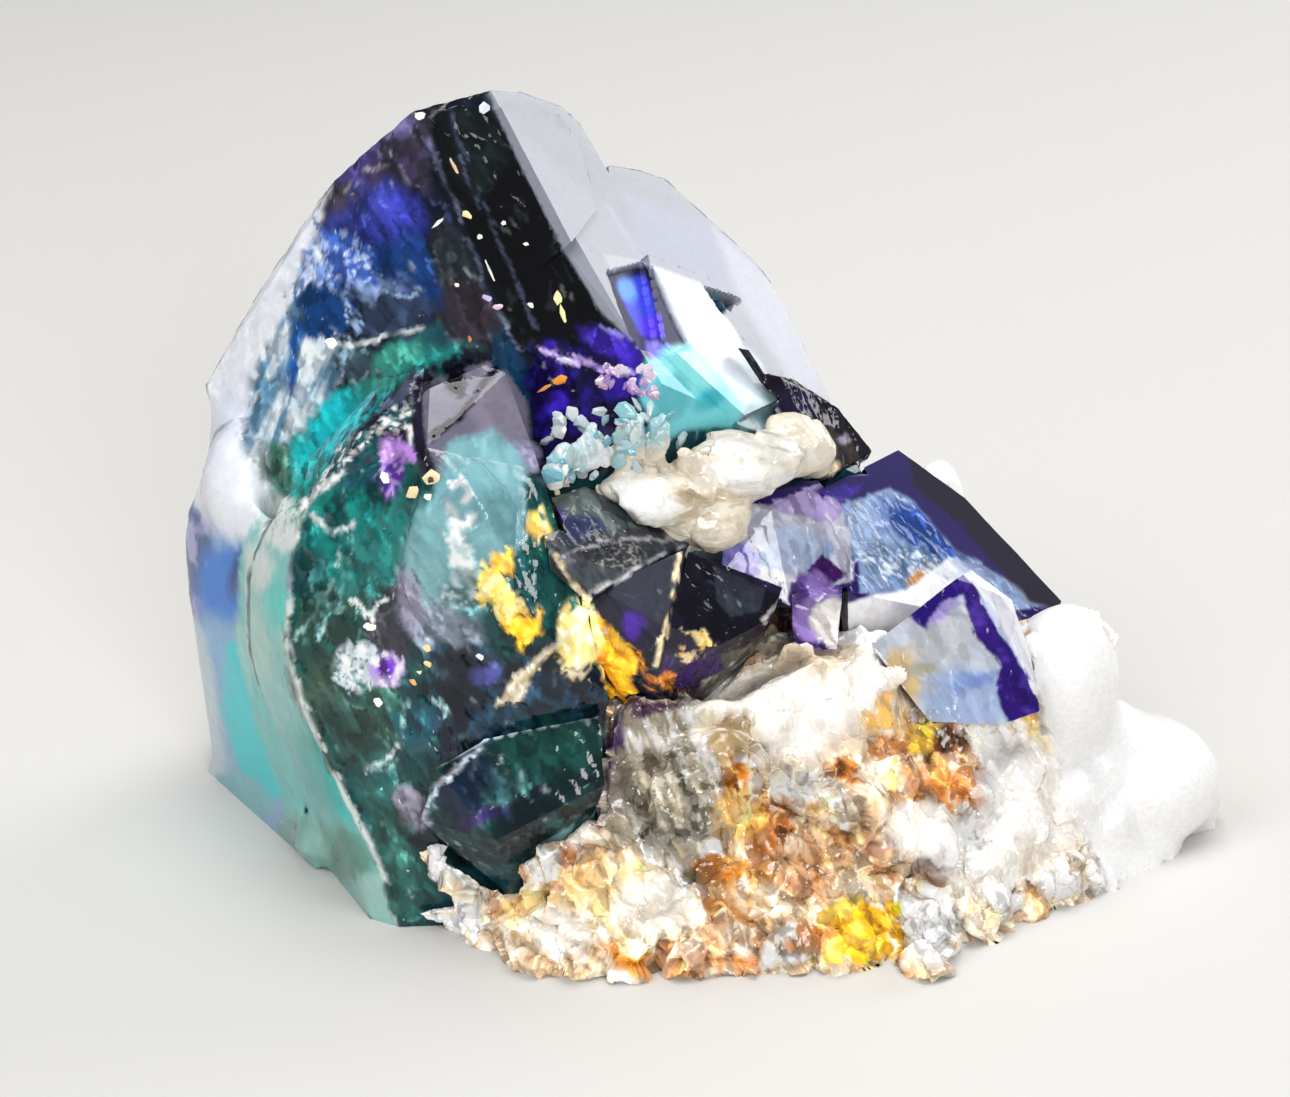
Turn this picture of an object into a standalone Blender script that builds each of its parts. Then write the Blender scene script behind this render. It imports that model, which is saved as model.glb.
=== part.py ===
"""Fluorite cluster on quartz: a hand specimen about 72 mm wide, 43 mm deep and 50 mm high.

Every body is convex, as cleaved fluorite and quartz grains are: it is the hull of its corner points.
The bodies that grew into one another are united in one solid for each piece. A piece that touches another
is cut back by that one's bodies, grown by the gap between pieces, so the two stand face to face.

Corner points are in millimetres. +X is to the viewer's right, +Y away from the viewer and +Z up. The flat
broken base lies at Z = 0, and the finished specimen is centred over the origin.
"""

import math
import random
from dataclasses import dataclass

import bmesh
import bpy
from mathutils import Matrix, Vector

MM = 0.001
GAP = 0.3
SEED = 7
WELD = 2e-6
PARTS = "fluorite_cluster"

APEX = (-13.7, 6.0, 50.2)
EDGE_FOOT = (-4.2, -4.0, 36.3)
POINTS = 12
GRAIN_TRIES = 1500
GRAIN_SPACING = 3.1
GRAIN_SIZE = (1.7, 3.0)
FRONT_GRAINS = [
    (-13.6, -15.8, 2.6), (-10.2, -18.2, 2.9), (-7.0, -19.2, 2.7), (-3.4, -18.4, 3.1), (0.0, -19.0, 3.0),
    (4.6, -18.4, 2.8), (9.0, -18.0, 2.8), (13.8, -18.2, 2.9), (18.6, -14.6, 2.6), (24.0, -10.0, 2.6),
]


@dataclass(frozen=True)
class Face:
    """A flat crystal face.

    Azimuth 0 faces the viewer and 90 the viewer's right, rise is the slope of its normal above level, both
    in degrees, and reach is the face's distance from the origin in mm.
    """

    azimuth: float
    rise: float
    reach: float

    @property
    def normal(self):
        turn, lift = math.radians(self.azimuth), math.radians(self.rise)
        return Vector((math.cos(lift) * math.sin(turn), -math.cos(lift) * math.cos(turn), math.sin(lift)))

    def at(self, x, z):
        """The point of this face that is seen at x and z from the front."""
        n = self.normal
        return (x, (self.reach - n.x * x - n.z * z) / n.y, z)

    def plate(self, outline, proud, depth=2.5):
        """The corners of a growth plate that stands proud of this face, with its outline as x, z pairs."""
        foot = [Vector(self.at(x, z)) for x, z in outline]
        return [p + self.normal * proud for p in foot] + [p - self.normal * depth for p in foot]


BAND = Face(azimuth=-1.2, rise=35.1, reach=24.18)
LEFT = Face(azimuth=-34.7, rise=20.1, reach=22.33)
WHITE = Face(azimuth=68.2, rise=42.0, reach=22.49)
FRONT_BLUE = Face(azimuth=46.9, rise=42.9, reach=20.62)
CORNER = Face(azimuth=15.3, rise=22.7, reach=17.87)


def blob(centre, radii, points=60):
    """Corner points spread evenly on an ellipsoid."""
    turn = math.pi * (3 - math.sqrt(5))
    corners = []
    for i in range(points):
        level = 1 - 2 * (i + 0.5) / points
        ring = math.sqrt(1 - level * level)
        way = (ring * math.cos(turn * i), ring * math.sin(turn * i), level)
        corners.append(tuple(c + r * w for c, r, w in zip(centre, radii, way)))
    return corners


def grain(rng, centre, size, stretch=1.25, corners=13):
    """Corner points of one blunt quartz grain."""
    axis = Vector([rng.gauss(0, 1) for _ in range(3)]).normalized()
    points = []
    for corner in blob((0, 0, 0), (1, 1, 1), corners):
        way = Vector(corner) + Vector([rng.uniform(-0.35, 0.35) for _ in range(3)])
        way = way.normalized() * size * rng.uniform(0.86, 1.1)
        points.append(Vector(centre) + way + axis * way.dot(axis) * (stretch - 1))
    return points


def main_crystal():
    """The big zoned crystal, its stepped right face and left flank, and the teal crystal in front."""
    crest = [
        APEX, BAND.at(-17.6, 48.6), LEFT.at(-18.6, 48.9), LEFT.at(-22.4, 45.4), LEFT.at(-24.1, 43.7),
        LEFT.at(-26.3, 36.1), LEFT.at(-28.6, 27.6), LEFT.at(-29.0, 24.0),
    ]
    edge = [(-10.1, 0.4, 43.0), EDGE_FOOT, (-2.6, -5.0, 34.0), (-3.6, -5.6, 31.0)]
    right = [
        WHITE.at(-11.9, 49.4), WHITE.at(-9.3, 47.8), WHITE.at(-8.0, 46.5), WHITE.at(-6.7, 44.6),
        WHITE.at(-4.0, 40.7), WHITE.at(0.0, 34.4), WHITE.at(2.2, 30.6), (1.0, -1.6, 27.0),
    ]
    back = [(-20.0, 12.5, 43.0), (-12.0, 17.0, 38.0), (-3.0, 18.5, 31.0), (3.0, 17.0, 22.0)]
    rim = [(-25.4, 10.0, 41.6), (-29.7, 10.0, 35.3), (-33.6, 9.0, 28.8), (-34.0, 8.0, 22.0)]
    foot = [
        (-33.0, 9.0, 0.0), (-27.0, 17.0, 0.0), (-14.0, 20.5, 0.0), (0.0, 19.0, 0.0), (4.0, 12.0, 0.0),
        (0.0, 2.0, 0.0), (-9.0, -6.0, 0.0), (-26.0, -4.0, 0.0),
    ]
    core = crest + edge + right + back + rim + foot

    shoulder_rim = [(-6.1, 44.0), (-4.0, 42.9), (-2.3, 41.8), (0.1, 39.4), (2.6, 37.0), (3.9, 35.7)]
    shoulder = WHITE.plate(shoulder_rim, proud=0.0, depth=4.0) + [
        WHITE.at(5.3, 34.0), WHITE.at(7.0, 31.2), WHITE.at(9.3, 27.2), WHITE.at(11.0, 24.0),
        WHITE.at(-5.9, 42.0), WHITE.at(-3.6, 37.6), WHITE.at(2.4, 30.2), WHITE.at(6.0, 27.6),
        (-6.0, 16.0, 36.0), (3.0, 20.5, 28.0), (8.0, 17.0, 22.0), (10.0, 14.0, 0.0), (0.0, 20.0, 0.0),
        (3.0, 3.0, 24.0), (8.0, 8.0, 20.0), (4.0, 8.0, 0.0),
    ]
    upper_rim = [(-13.2, 49.2), (-9.6, 47.4), (-8.2, 45.6), (-7.0, 42.6), (-8.6, 42.0)]
    upper_step = WHITE.plate(upper_rim, proud=0.35)
    bright_rim = [(-4.0, 39.3), (0.0, 36.6), (1.3, 34.6), (4.6, 29.8), (2.2, 30.4), (-3.0, 35.6)]
    bright_plate = WHITE.plate(bright_rim, proud=0.8)
    back_plate = [
        (-24.0, 13.5, 36.0), (-14.0, 18.5, 33.0), (-6.0, 21.0, 26.0), (-8.0, 22.5, 6.0),
        (-22.0, 19.5, 4.0), (-22.0, 10.0, 30.0), (-8.0, 14.0, 20.0), (-18.0, 12.0, 4.0),
    ]

    flank_foot = [
        (-33.4, 7.0, 24.0), (-36.0, 7.0, 19.7), (-35.8, 7.0, 15.0), (-35.0, 7.2, 7.0),
        (-34.8, 7.5, 0.0), (-32.0, 3.2, 0.0), (-28.3, -2.4, 0.0), (-28.4, -2.6, 24.0),
        (-30.4, -1.2, 20.0), (-30.9, -0.6, 12.0), (-31.0, 13.0, 0.0), (-31.0, 13.0, 20.0),
        (-26.0, -6.4, 0.0), (-26.6, -6.0, 5.0), (-27.8, -4.2, 10.0),
    ]
    bulge = blob((-30.9, 4.4, 23.4), (2.9, 3.4, 4.8), 44)
    foot_lump = blob((-26.0, -6.8, 1.8), (1.7, 1.8, 1.9), 30)

    teal = [
        (-28.5, -3.0, 24.3), (-25.8, -7.0, 25.6), (-26.9, -9.0, 17.9), (-26.0, -10.0, 14.1),
        (-23.1, -12.0, 8.6), (-19.7, -14.6, 0.0), (-21.6, -13.6, 0.0), (-25.2, -6.1, 0.0),
        (-30.3, -2.0, 14.0), (-30.0, -1.8, 20.0), (-17.2, -11.0, 32.0), (-17.2, -7.4, 34.6),
        (-13.8, -5.4, 35.4), (-12.5, -6.2, 35.1), (-10.2, -10.0, 30.1), (-10.4, -14.6, 21.5),
        (-6.0, -14.8, 16.8), (-7.0, -14.0, 0.0), (-9.0, -2.0, 10.0), (-24.0, -3.0, 0.0),
        (-9.0, -3.0, 0.0),
    ]
    ridge = [
        (-26.2, -5.0, 25.4), (-22.6, -7.4, 30.2), (-17.6, -6.4, 35.6), (-20.5, -3.4, 33.8),
        (-25.4, -2.4, 28.0), (-18.0, -9.6, 31.0), (-24.0, -7.6, 24.0),
    ]
    lobe = blob((-14.9, -10.7, 23.8), (4.4, 3.2, 7.4), 50)
    dark_foot = [
        (-17.9, -16.2, 8.6), (-16.8, -16.0, 12.2), (-13.8, -15.6, 14.0), (-6.6, -15.8, 15.8),
        (-6.2, -17.4, 11.8), (-13.0, -18.4, 8.4), (-16.0, -13.0, 4.0), (-8.0, -13.0, 4.0),
        (-12.0, -16.4, 3.0),
    ]
    front = [teal, foot_lump, ridge, lobe, dark_foot]
    return [core, shoulder, upper_step, bright_plate, back_plate, flank_foot, bulge] + front


def dark_cubes():
    """The small dark cubes in the middle, wedged between the teal crystal and the quartz."""
    grey_top = [
        (-10.9, -10.0, 27.7), (-7.5, -8.0, 28.2), (-5.6, -7.6, 26.8), (-4.0, -8.4, 25.2),
        (-0.8, -7.0, 23.8), (-6.5, -13.2, 23.2), (-9.6, -13.2, 26.2), (-9.4, -13.0, 20.0),
        (-3.0, -6.0, 18.0),
    ]
    left_cube = [
        (-6.6, -12.4, 23.0), (-1.2, -9.4, 24.4), (-2.4, -14.2, 21.2), (-3.0, -14.8, 17.6),
        (-5.4, -14.4, 18.6), (0.0, -8.0, 18.0), (-2.0, -12.0, 14.0), (-7.8, -13.6, 20.4),
        (-6.0, -13.4, 16.0),
    ]
    right_cube = [
        (-0.9, -8.8, 24.0), (1.2, -8.4, 22.7), (5.2, -7.6, 21.0), (4.4, -9.4, 19.6),
        (1.0, -12.2, 19.0), (-2.2, -13.6, 21.0), (-2.6, -13.8, 17.4), (4.0, -6.0, 16.0),
        (0.0, -10.0, 14.0),
    ]
    olive_edge = [
        (-0.4, -14.0, 16.6), (0.9, -12.6, 19.0), (4.0, -11.2, 19.4), (8.6, -10.4, 18.8),
        (3.0, -13.4, 16.6), (4.0, -8.0, 14.0), (-0.6, -11.0, 13.6),
    ]
    return [grey_top, left_cube, right_cube, olive_edge]


def right_group():
    """The clear lilac cube and the blue cube with purple edges, grown together."""
    lilac = [
        (1.5, -4.4, 25.6), (4.5, -4.8, 25.2), (7.6, -2.6, 26.4), (9.6, -2.4, 24.2), (9.8, -5.0, 20.0),
        (5.8, -7.0, 19.4), (1.3, -6.6, 21.5), (2.6, 1.0, 24.6), (8.0, 1.0, 17.0), (3.0, -2.0, 17.0),
    ]
    ring = [
        (5.8, -7.4, 20.4), (9.0, -7.2, 20.2), (8.8, -8.0, 16.8), (6.0, -8.2, 16.8), (6.0, -3.0, 16.0),
        (9.4, -3.0, 20.0),
    ]
    blue = [
        FRONT_BLUE.at(8.3, 24.5), FRONT_BLUE.at(13.6, 24.8), FRONT_BLUE.at(18.3, 21.2),
        FRONT_BLUE.at(25.0, 14.4), FRONT_BLUE.at(9.6, 19.4), FRONT_BLUE.at(17.4, 16.6),
        FRONT_BLUE.at(22.0, 14.0), (13.4, 9.6, 23.2), (19.0, 10.6, 19.0), (25.4, 8.2, 12.8),
        (24.0, 9.0, 9.0), (10.0, 9.0, 14.0), (20.0, 1.0, 10.0), (10.0, -3.0, 12.0),
    ]
    return [lilac, ring, blue]


def front_corner():
    """The blue cube whose corner points at the viewer."""
    cube = [
        CORNER.at(16.5, 21.1), CORNER.at(10.9, 17.7), CORNER.at(14.7, 12.8), CORNER.at(19.4, 12.1),
        CORNER.at(22.1, 12.6), (21.6, -6.2, 15.4), (20.4, -4.6, 18.8), (17.6, -4.8, 21.0),
        (15.0, -3.0, 12.0), (20.0, -3.0, 11.0),
    ]
    return [cube]


def blade():
    """The dark plate-like crystal that stands on the big crystal's right face."""
    tip = [
        (2.4, 1.6, 34.1), (3.1, 1.4, 34.0), (2.5, 2.4, 33.7), (3.2, 2.3, 33.4), (5.0, 1.4, 31.0),
        (4.6, 2.6, 31.0), (4.4, 0.8, 31.2),
    ]
    body = [
        (3.9, 1.8, 32.3), (5.2, 2.0, 31.9), (6.1, 3.4, 31.3), (9.3, 5.0, 28.6), (11.7, 5.8, 25.2),
        (8.6, 0.6, 25.6), (7.2, 0.2, 26.8), (5.4, 0.4, 29.2), (4.2, 1.2, 31.2), (8.0, 6.6, 27.0),
        (10.5, 7.0, 22.0), (8.0, 3.0, 22.0),
    ]
    return [tip, body]


def upper_quartz(rng):
    """The clear and cream quartz lump in the middle, with the short pale points along its left side."""
    layers = [
        blob((1.3, -3.6, 28.0), (5.4, 3.0, 2.4), 50),
        blob((-3.4, -6.6, 26.9), (4.0, 2.6, 1.9), 44),
        blob((5.6, -0.8, 27.6), (3.3, 2.6, 2.7), 44),
        blob((-0.4, -4.6, 24.6), (4.2, 3.4, 3.0), 40),
    ]
    points = []
    for i in range(POINTS):
        along = i / (POINTS - 1)
        foot = Vector((-10.0 + 8.6 * along, -8.4 + 2.8 * along, 28.6 + 2.2 * math.sin(2.6 * along)))
        foot += Vector([rng.uniform(-0.8, 0.8) for _ in range(3)])
        lean = Vector((rng.uniform(-0.5, 0.4), rng.uniform(-0.8, 0.0), 1.0)).normalized()
        points.append(quartz_point(foot, lean, rng.uniform(1.2, 3.4), rng.uniform(0.6, 1.1)))
    return layers + points


def quartz_point(foot, lean, length, radius):
    """Corner points of a six-sided prism with a pyramid tip."""
    side = lean.orthogonal().normalized()
    other = lean.cross(side)
    corners = [foot + lean * length]
    for turn in range(6):
        way = side * math.cos(turn * math.pi / 3) + other * math.sin(turn * math.pi / 3)
        corners.append(foot - lean * 2.0 + way * radius)
        corners.append(foot + lean * (length - radius * 1.2) + way * radius * 0.9)
    return corners


def matrix_quartz(rng):
    """The granular quartz base: a core, grains over its open sides, smooth lobes and a knob at the back."""
    core = [
        (-18.6, -13.4, 0.0), (-15.0, -16.0, 0.0), (-9.0, -19.0, 0.0), (4.0, -19.0, 0.0),
        (14.0, -18.4, 0.0), (23.6, -11.0, 0.0), (31.0, -6.4, 0.0), (34.6, 1.0, 0.0), (30.0, 9.0, 0.0),
        (12.0, 17.0, 0.0), (-16.8, -15.0, 6.0), (-9.0, -17.0, 10.0), (-6.0, -14.6, 14.4),
        (2.4, -12.4, 15.6), (8.5, -10.4, 16.8), (20.0, -3.4, 15.4), (24.0, 3.0, 11.0),
        (20.0, 9.0, 12.0), (10.0, 12.0, 15.0),
    ]
    knob = blob((16.9, 12.6, 20.2), (2.1, 1.8, 2.2), 36) + [
        (14.6, 11.4, 8.0), (19.4, 11.4, 8.0), (19.0, 15.0, 8.0), (14.6, 15.0, 8.0),
    ]
    lobes = [
        blob((24.2, -3.0, 12.2), (4.1, 4.2, 5.8), 80),
        blob((27.0, -0.6, 5.4), (4.2, 5.0, 4.8), 60),
        blob((30.8, -1.0, 3.8), (5.0, 5.0, 4.7), 80),
        blob((33.6, 1.2, 1.8), (3.0, 3.8, 3.0), 50),
        blob((0.6, -15.5, 9.2), (4.8, 2.7, 5.8), 34),
    ]
    front = [grain(rng, (x, y, 0.9), size) for x, y, size in FRONT_GRAINS]
    return [core, knob] + lobes + front + scattered_grains(core, rng)


def scattered_grains(core, rng):
    """Grains spread over the open sides of the core, no two closer than the spacing for their place."""
    shape = bmesh.new()
    shape.from_mesh(hull_mesh(core))
    sides = [face for face in shape.faces if face.normal.z > -0.5]
    areas = [face.calc_area() for face in sides]
    grains, centres = [], []
    for _ in range(GRAIN_TRIES):
        face = rng.choices(sides, areas)[0]
        weights = [rng.random() for _ in face.verts]
        spot = sum((w * v.co for w, v in zip(weights, face.verts)), Vector()) / sum(weights) / MM
        size = rng.uniform(*GRAIN_SIZE)
        if spot.z < 0.4 or any((spot - other).length < GRAIN_SPACING for other in centres):
            continue
        centres.append(spot)
        grains.append(grain(rng, spot - face.normal * size * 0.45, size))
    shape.free()
    return grains


def hull_mesh(corners, grown=0.0):
    """A closed mesh on the hull of these corners, moved outwards by at least the distance grown."""
    shifts = [Vector()]
    if grown:
        shifts = [Vector((x, y, z)) * grown for x in (-1, 1) for y in (-1, 1) for z in (-1, 1)]
    shape = bmesh.new()
    for corner in corners:
        for shift in shifts:
            shape.verts.new((Vector(corner) + shift) * MM)
    bmesh.ops.remove_doubles(shape, verts=shape.verts, dist=WELD)
    bmesh.ops.convex_hull(shape, input=shape.verts)
    loose = [vert for vert in shape.verts if not vert.link_faces]
    bmesh.ops.delete(shape, geom=loose, context="VERTS")
    bmesh.ops.recalc_face_normals(shape, faces=shape.faces)
    mesh = bpy.data.meshes.new("hull")
    shape.to_mesh(mesh)
    shape.free()
    return mesh


def helper(mesh, cutters):
    """A hidden object for a Boolean."""
    body = bpy.data.objects.new("helper", mesh)
    body.hide_render = True
    body.display_type = "WIRE"
    cutters.objects.link(body)
    return body


def ground_cutter(cutters):
    """A block whose top is the flat base."""
    bpy.ops.mesh.primitive_cube_add(size=1.0, location=(0.0, 0.0, -0.05))
    block = bpy.context.object
    block.name = "ground_cutter"
    block.scale = (0.2, 0.2, 0.1)
    block.hide_render = True
    block.display_type = "WIRE"
    for collection in block.users_collection:
        collection.objects.unlink(block)
    cutters.objects.link(block)
    return block


def boolean(piece, operation, other):
    change = piece.modifiers.new(operation.lower(), "BOOLEAN")
    change.operation = operation
    change.solver = "EXACT"
    change.object = other


def settle(piece):
    """Applies the piece's modifiers and welds the points that they leave together."""
    bpy.context.view_layer.update()
    solid = bpy.data.meshes.new_from_object(piece.evaluated_get(bpy.context.evaluated_depsgraph_get()))
    piece.modifiers.clear()
    shape = bmesh.new()
    shape.from_mesh(solid)
    bmesh.ops.remove_doubles(shape, verts=shape.verts, dist=WELD)
    bmesh.ops.dissolve_degenerate(shape, dist=WELD, edges=shape.edges)
    bmesh.ops.triangulate(shape, faces=shape.faces)
    keep_largest(shape)
    shape.to_mesh(piece.data)
    shape.free()
    bpy.data.meshes.remove(solid)


def keep_largest(shape):
    """Removes chips that a cut has parted from the piece."""
    left = set(shape.faces)
    groups = []
    while left:
        group, edge_of = set(), [left.pop()]
        while edge_of:
            face = edge_of.pop()
            group.add(face)
            for edge in face.edges:
                for other in edge.link_faces:
                    if other in left:
                        left.discard(other)
                        edge_of.append(other)
        groups.append(group)
    groups.sort(key=len)
    chips = [face for group in groups[:-1] for face in group]
    if chips:
        bmesh.ops.delete(shape, geom=chips, context="FACES")


def stand_on_origin(pieces):
    """Moves the specimen level, so that the middle of its outline's box is over the origin."""
    points = [vert.co for piece in pieces for vert in piece.data.vertices]
    middle = [0.5 * (min(p[i] for p in points) + max(p[i] for p in points)) for i in (0, 1)]
    shift = Vector((-middle[0], -middle[1], 0.0))
    for piece in pieces:
        piece.data.transform(Matrix.Translation(shift))


def finish(name, colour, roughness, transmission, ior):
    """A stone's material."""
    material = bpy.data.materials.new(name)
    material.use_nodes = True
    shader = material.node_tree.nodes["Principled BSDF"]
    shader.inputs["Base Color"].default_value = (*colour, 1.0)
    shader.inputs["Roughness"].default_value = roughness
    shader.inputs["Transmission Weight"].default_value = transmission
    shader.inputs["IOR"].default_value = ior
    return material


def main():
    for old in list(bpy.data.objects):
        bpy.data.objects.remove(old)
    parts = bpy.data.collections.new(PARTS)
    cutters = bpy.data.collections.new("cutters")
    bpy.context.scene.collection.children.link(parts)
    bpy.context.scene.collection.children.link(cutters)
    rng = random.Random(SEED)

    teal_purple = finish("zoned_fluorite", (0.02, 0.08, 0.12), 0.12, 0.3, 1.434)
    dark = finish("dark_fluorite", (0.02, 0.015, 0.05), 0.15, 0.1, 1.434)
    blue = finish("blue_fluorite", (0.10, 0.12, 0.45), 0.12, 0.4, 1.434)
    cream = finish("quartz", (0.75, 0.68, 0.58), 0.3, 0.3, 1.544)

    pieces = [
        ("fluorite_main", main_crystal(), teal_purple),
        ("fluorite_dark_cubes", dark_cubes(), dark),
        ("fluorite_right_group", right_group(), blue),
        ("fluorite_front_corner", front_corner(), blue),
        ("fluorite_blade", blade(), dark),
        ("quartz_upper", upper_quartz(rng), cream),
        ("quartz_matrix", matrix_quartz(rng), cream),
    ]
    ground = ground_cutter(cutters)
    neighbours = []
    for name, bodies, material in pieces:
        piece = bpy.data.objects.new(name, hull_mesh(bodies[0]))
        piece.data.name = name
        parts.objects.link(piece)
        helpers = []
        for corners in bodies[1:]:
            helpers.append(helper(hull_mesh(corners), cutters))
            boolean(piece, "UNION", helpers[-1])
        for corners in neighbours:
            helpers.append(helper(hull_mesh(corners, GAP), cutters))
            boolean(piece, "DIFFERENCE", helpers[-1])
        boolean(piece, "DIFFERENCE", ground)
        settle(piece)
        piece.data.materials.append(material)
        for used in helpers:
            bpy.data.objects.remove(used)
        neighbours += bodies
    stand_on_origin(list(parts.objects))


main()
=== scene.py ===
"""The looks of the fluorite cluster: zoned crystals, granular quartz, limonite crusts, and a plain studio.

Each CAD solid is refined to a fine mesh, carved with growth steps or grains, and painted by zones that lie
in the stone. A zone is placed by a pixel of the photograph, falls on the stone that the pixel shows, and
reaches only a few millimetres in depth, so it stays on that stone when seen from another side.

Lengths are in millimetres until a mesh is made. +X is to the viewer's right, +Y away and +Z up.
"""

from __future__ import annotations

import logging
import math
import random
from dataclasses import dataclass, field
from enum import Enum

import bmesh
import bpy
import numpy as np
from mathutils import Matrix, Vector
from mathutils.bvhtree import BVHTree


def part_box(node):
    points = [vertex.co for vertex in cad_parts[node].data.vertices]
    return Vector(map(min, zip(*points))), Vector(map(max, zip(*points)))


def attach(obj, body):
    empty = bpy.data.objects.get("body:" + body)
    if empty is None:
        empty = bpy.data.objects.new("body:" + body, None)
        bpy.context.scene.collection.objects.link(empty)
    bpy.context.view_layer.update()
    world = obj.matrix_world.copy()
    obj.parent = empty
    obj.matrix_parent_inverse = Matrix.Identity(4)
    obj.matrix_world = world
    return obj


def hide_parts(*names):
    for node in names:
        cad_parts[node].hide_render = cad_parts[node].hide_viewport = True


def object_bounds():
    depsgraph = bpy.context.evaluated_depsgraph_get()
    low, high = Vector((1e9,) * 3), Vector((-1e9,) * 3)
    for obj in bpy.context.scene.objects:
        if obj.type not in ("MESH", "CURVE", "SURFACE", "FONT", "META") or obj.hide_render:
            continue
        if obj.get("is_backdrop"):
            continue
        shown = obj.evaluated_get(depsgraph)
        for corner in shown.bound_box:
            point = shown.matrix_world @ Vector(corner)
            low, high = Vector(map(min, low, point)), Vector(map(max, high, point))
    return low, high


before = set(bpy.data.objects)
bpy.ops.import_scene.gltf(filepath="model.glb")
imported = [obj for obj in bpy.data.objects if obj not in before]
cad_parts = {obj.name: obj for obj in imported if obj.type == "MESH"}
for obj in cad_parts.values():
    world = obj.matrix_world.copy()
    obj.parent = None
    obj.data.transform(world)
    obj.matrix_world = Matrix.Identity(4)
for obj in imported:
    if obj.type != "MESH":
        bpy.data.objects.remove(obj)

LOG = logging.getLogger("fluorite_cluster")
MM = 0.001
PHOTO_SIZE = (1290, 1097)
PIXELS_PER_MM = 15.0
BODY = "root"
GROWTH = np.array((0.5, -0.34, -0.8))

Pixel = tuple[float, float]
Colour = tuple[float, float, float]


def linear(colour: str) -> Colour:
    """Turns an sRGB hex colour into linear red, green and blue.

    Args:
        colour: The colour, such as "#8cc3c2".

    Returns:
        The three linear values.
    """
    parts = [int(colour[i : i + 2], 16) / 255 for i in (1, 3, 5)]
    return tuple(p / 12.92 if p <= 0.04045 else ((p + 0.055) / 1.055) ** 2.4 for p in parts)


class Grain(Enum):
    """How a zone's second colour is spread in it."""

    PLAIN = "plain"
    CLOUD = "cloud"
    BUBBLES = "bubbles"
    STREAKS = "streaks"
    CRACKS = "cracks"
    SHARDS = "shards"


@dataclass(frozen=True)
class PhotoView:
    """The photograph's camera, set from the specimen's apex.

    Attributes:
        apex: The specimen's highest point.
        rise: How far the camera looks down, in degrees.
        lens: The focal length for a sensor 36 mm wide.
        distance: From the camera to its target.
    """

    apex: tuple[float, float, float]
    rise: float = 23.0
    lens: float = 90.0
    distance: float = 215.0

    @property
    def target(self) -> np.ndarray:
        """The point that the camera looks at."""
        return np.array(self.apex) + np.array((10.03, -6.0, -29.7))

    @property
    def axes(self) -> tuple[np.ndarray, np.ndarray, np.ndarray]:
        """The camera's right, up and forward directions."""
        tilt = math.radians(self.rise)
        forward = np.array((0.0, math.cos(tilt), -math.sin(tilt)))
        up = np.array((0.0, math.sin(tilt), math.cos(tilt)))
        return np.array((1.0, 0.0, 0.0)), up, forward

    @property
    def centre(self) -> np.ndarray:
        """The camera's place."""
        return self.target - self.axes[2] * self.distance

    @property
    def focal(self) -> float:
        """The focal length in pixels of the photograph."""
        return self.lens / 36.0 * PHOTO_SIZE[0]

    def pixels(self, points: np.ndarray) -> tuple[np.ndarray, np.ndarray]:
        """Projects points into the photograph.

        Args:
            points: Places, one a row.

        Returns:
            Their pixels, one a row, and their depths along the camera's axis.
        """
        right, up, forward = self.axes
        away = points - self.centre
        depth = away @ forward
        across = PHOTO_SIZE[0] / 2 + self.focal * (away @ right) / depth
        down = PHOTO_SIZE[1] / 2 - self.focal * (away @ up) / depth
        return np.stack([across, down], 1), depth

    def ray(self, pixel: Pixel) -> np.ndarray:
        """The unit direction from the camera through a pixel."""
        right, up, forward = self.axes
        across = (pixel[0] - PHOTO_SIZE[0] / 2) / self.focal
        down = (pixel[1] - PHOTO_SIZE[1] / 2) / self.focal
        way = forward + right * across - up * down
        return way / np.linalg.norm(way)

    def add_camera(self) -> None:
        """Adds the camera to the scene."""
        data = bpy.data.cameras.new("photo_camera")
        data.lens = self.lens
        data.sensor_width = 36.0
        data.clip_start = 0.01
        camera = bpy.data.objects.new("photo_camera", data)
        bpy.context.scene.collection.objects.link(camera)
        camera.location = Vector(self.centre) * MM
        camera.rotation_euler = (math.radians(90.0 - self.rise), 0.0, 0.0)
        bpy.context.scene.camera = camera


@dataclass(frozen=True)
class Surface:
    """The whole specimen's surface, for finding the stone that a pixel shows.

    Attributes:
        view: The photograph's camera.
        tree: The surface in metres.
    """

    view: PhotoView
    tree: BVHTree

    @classmethod
    def of_cad(cls, view: PhotoView) -> Surface:
        """Reads the surface of all CAD nodes."""
        shape = bmesh.new()
        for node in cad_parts.values():
            shape.from_mesh(node.data)
        tree = BVHTree.FromBMesh(shape)
        shape.free()
        return cls(view, tree)

    def hit(self, pixel: Pixel) -> tuple[np.ndarray, np.ndarray] | None:
        """The place and the normal that a pixel shows, or None where it misses the specimen."""
        start = Vector(self.view.centre) * MM
        place, normal, _, _ = self.tree.ray_cast(start, Vector(self.view.ray(pixel)))
        if place is None:
            return None
        return np.array(place) / MM, np.array(normal)

    def depth(self, pixel: Pixel) -> float | None:
        """How far along the camera's axis the shown place lies, or None."""
        found = self.hit(pixel)
        if found is None:
            return None
        return float((found[0] - self.view.centre) @ self.view.axes[2])


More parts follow.
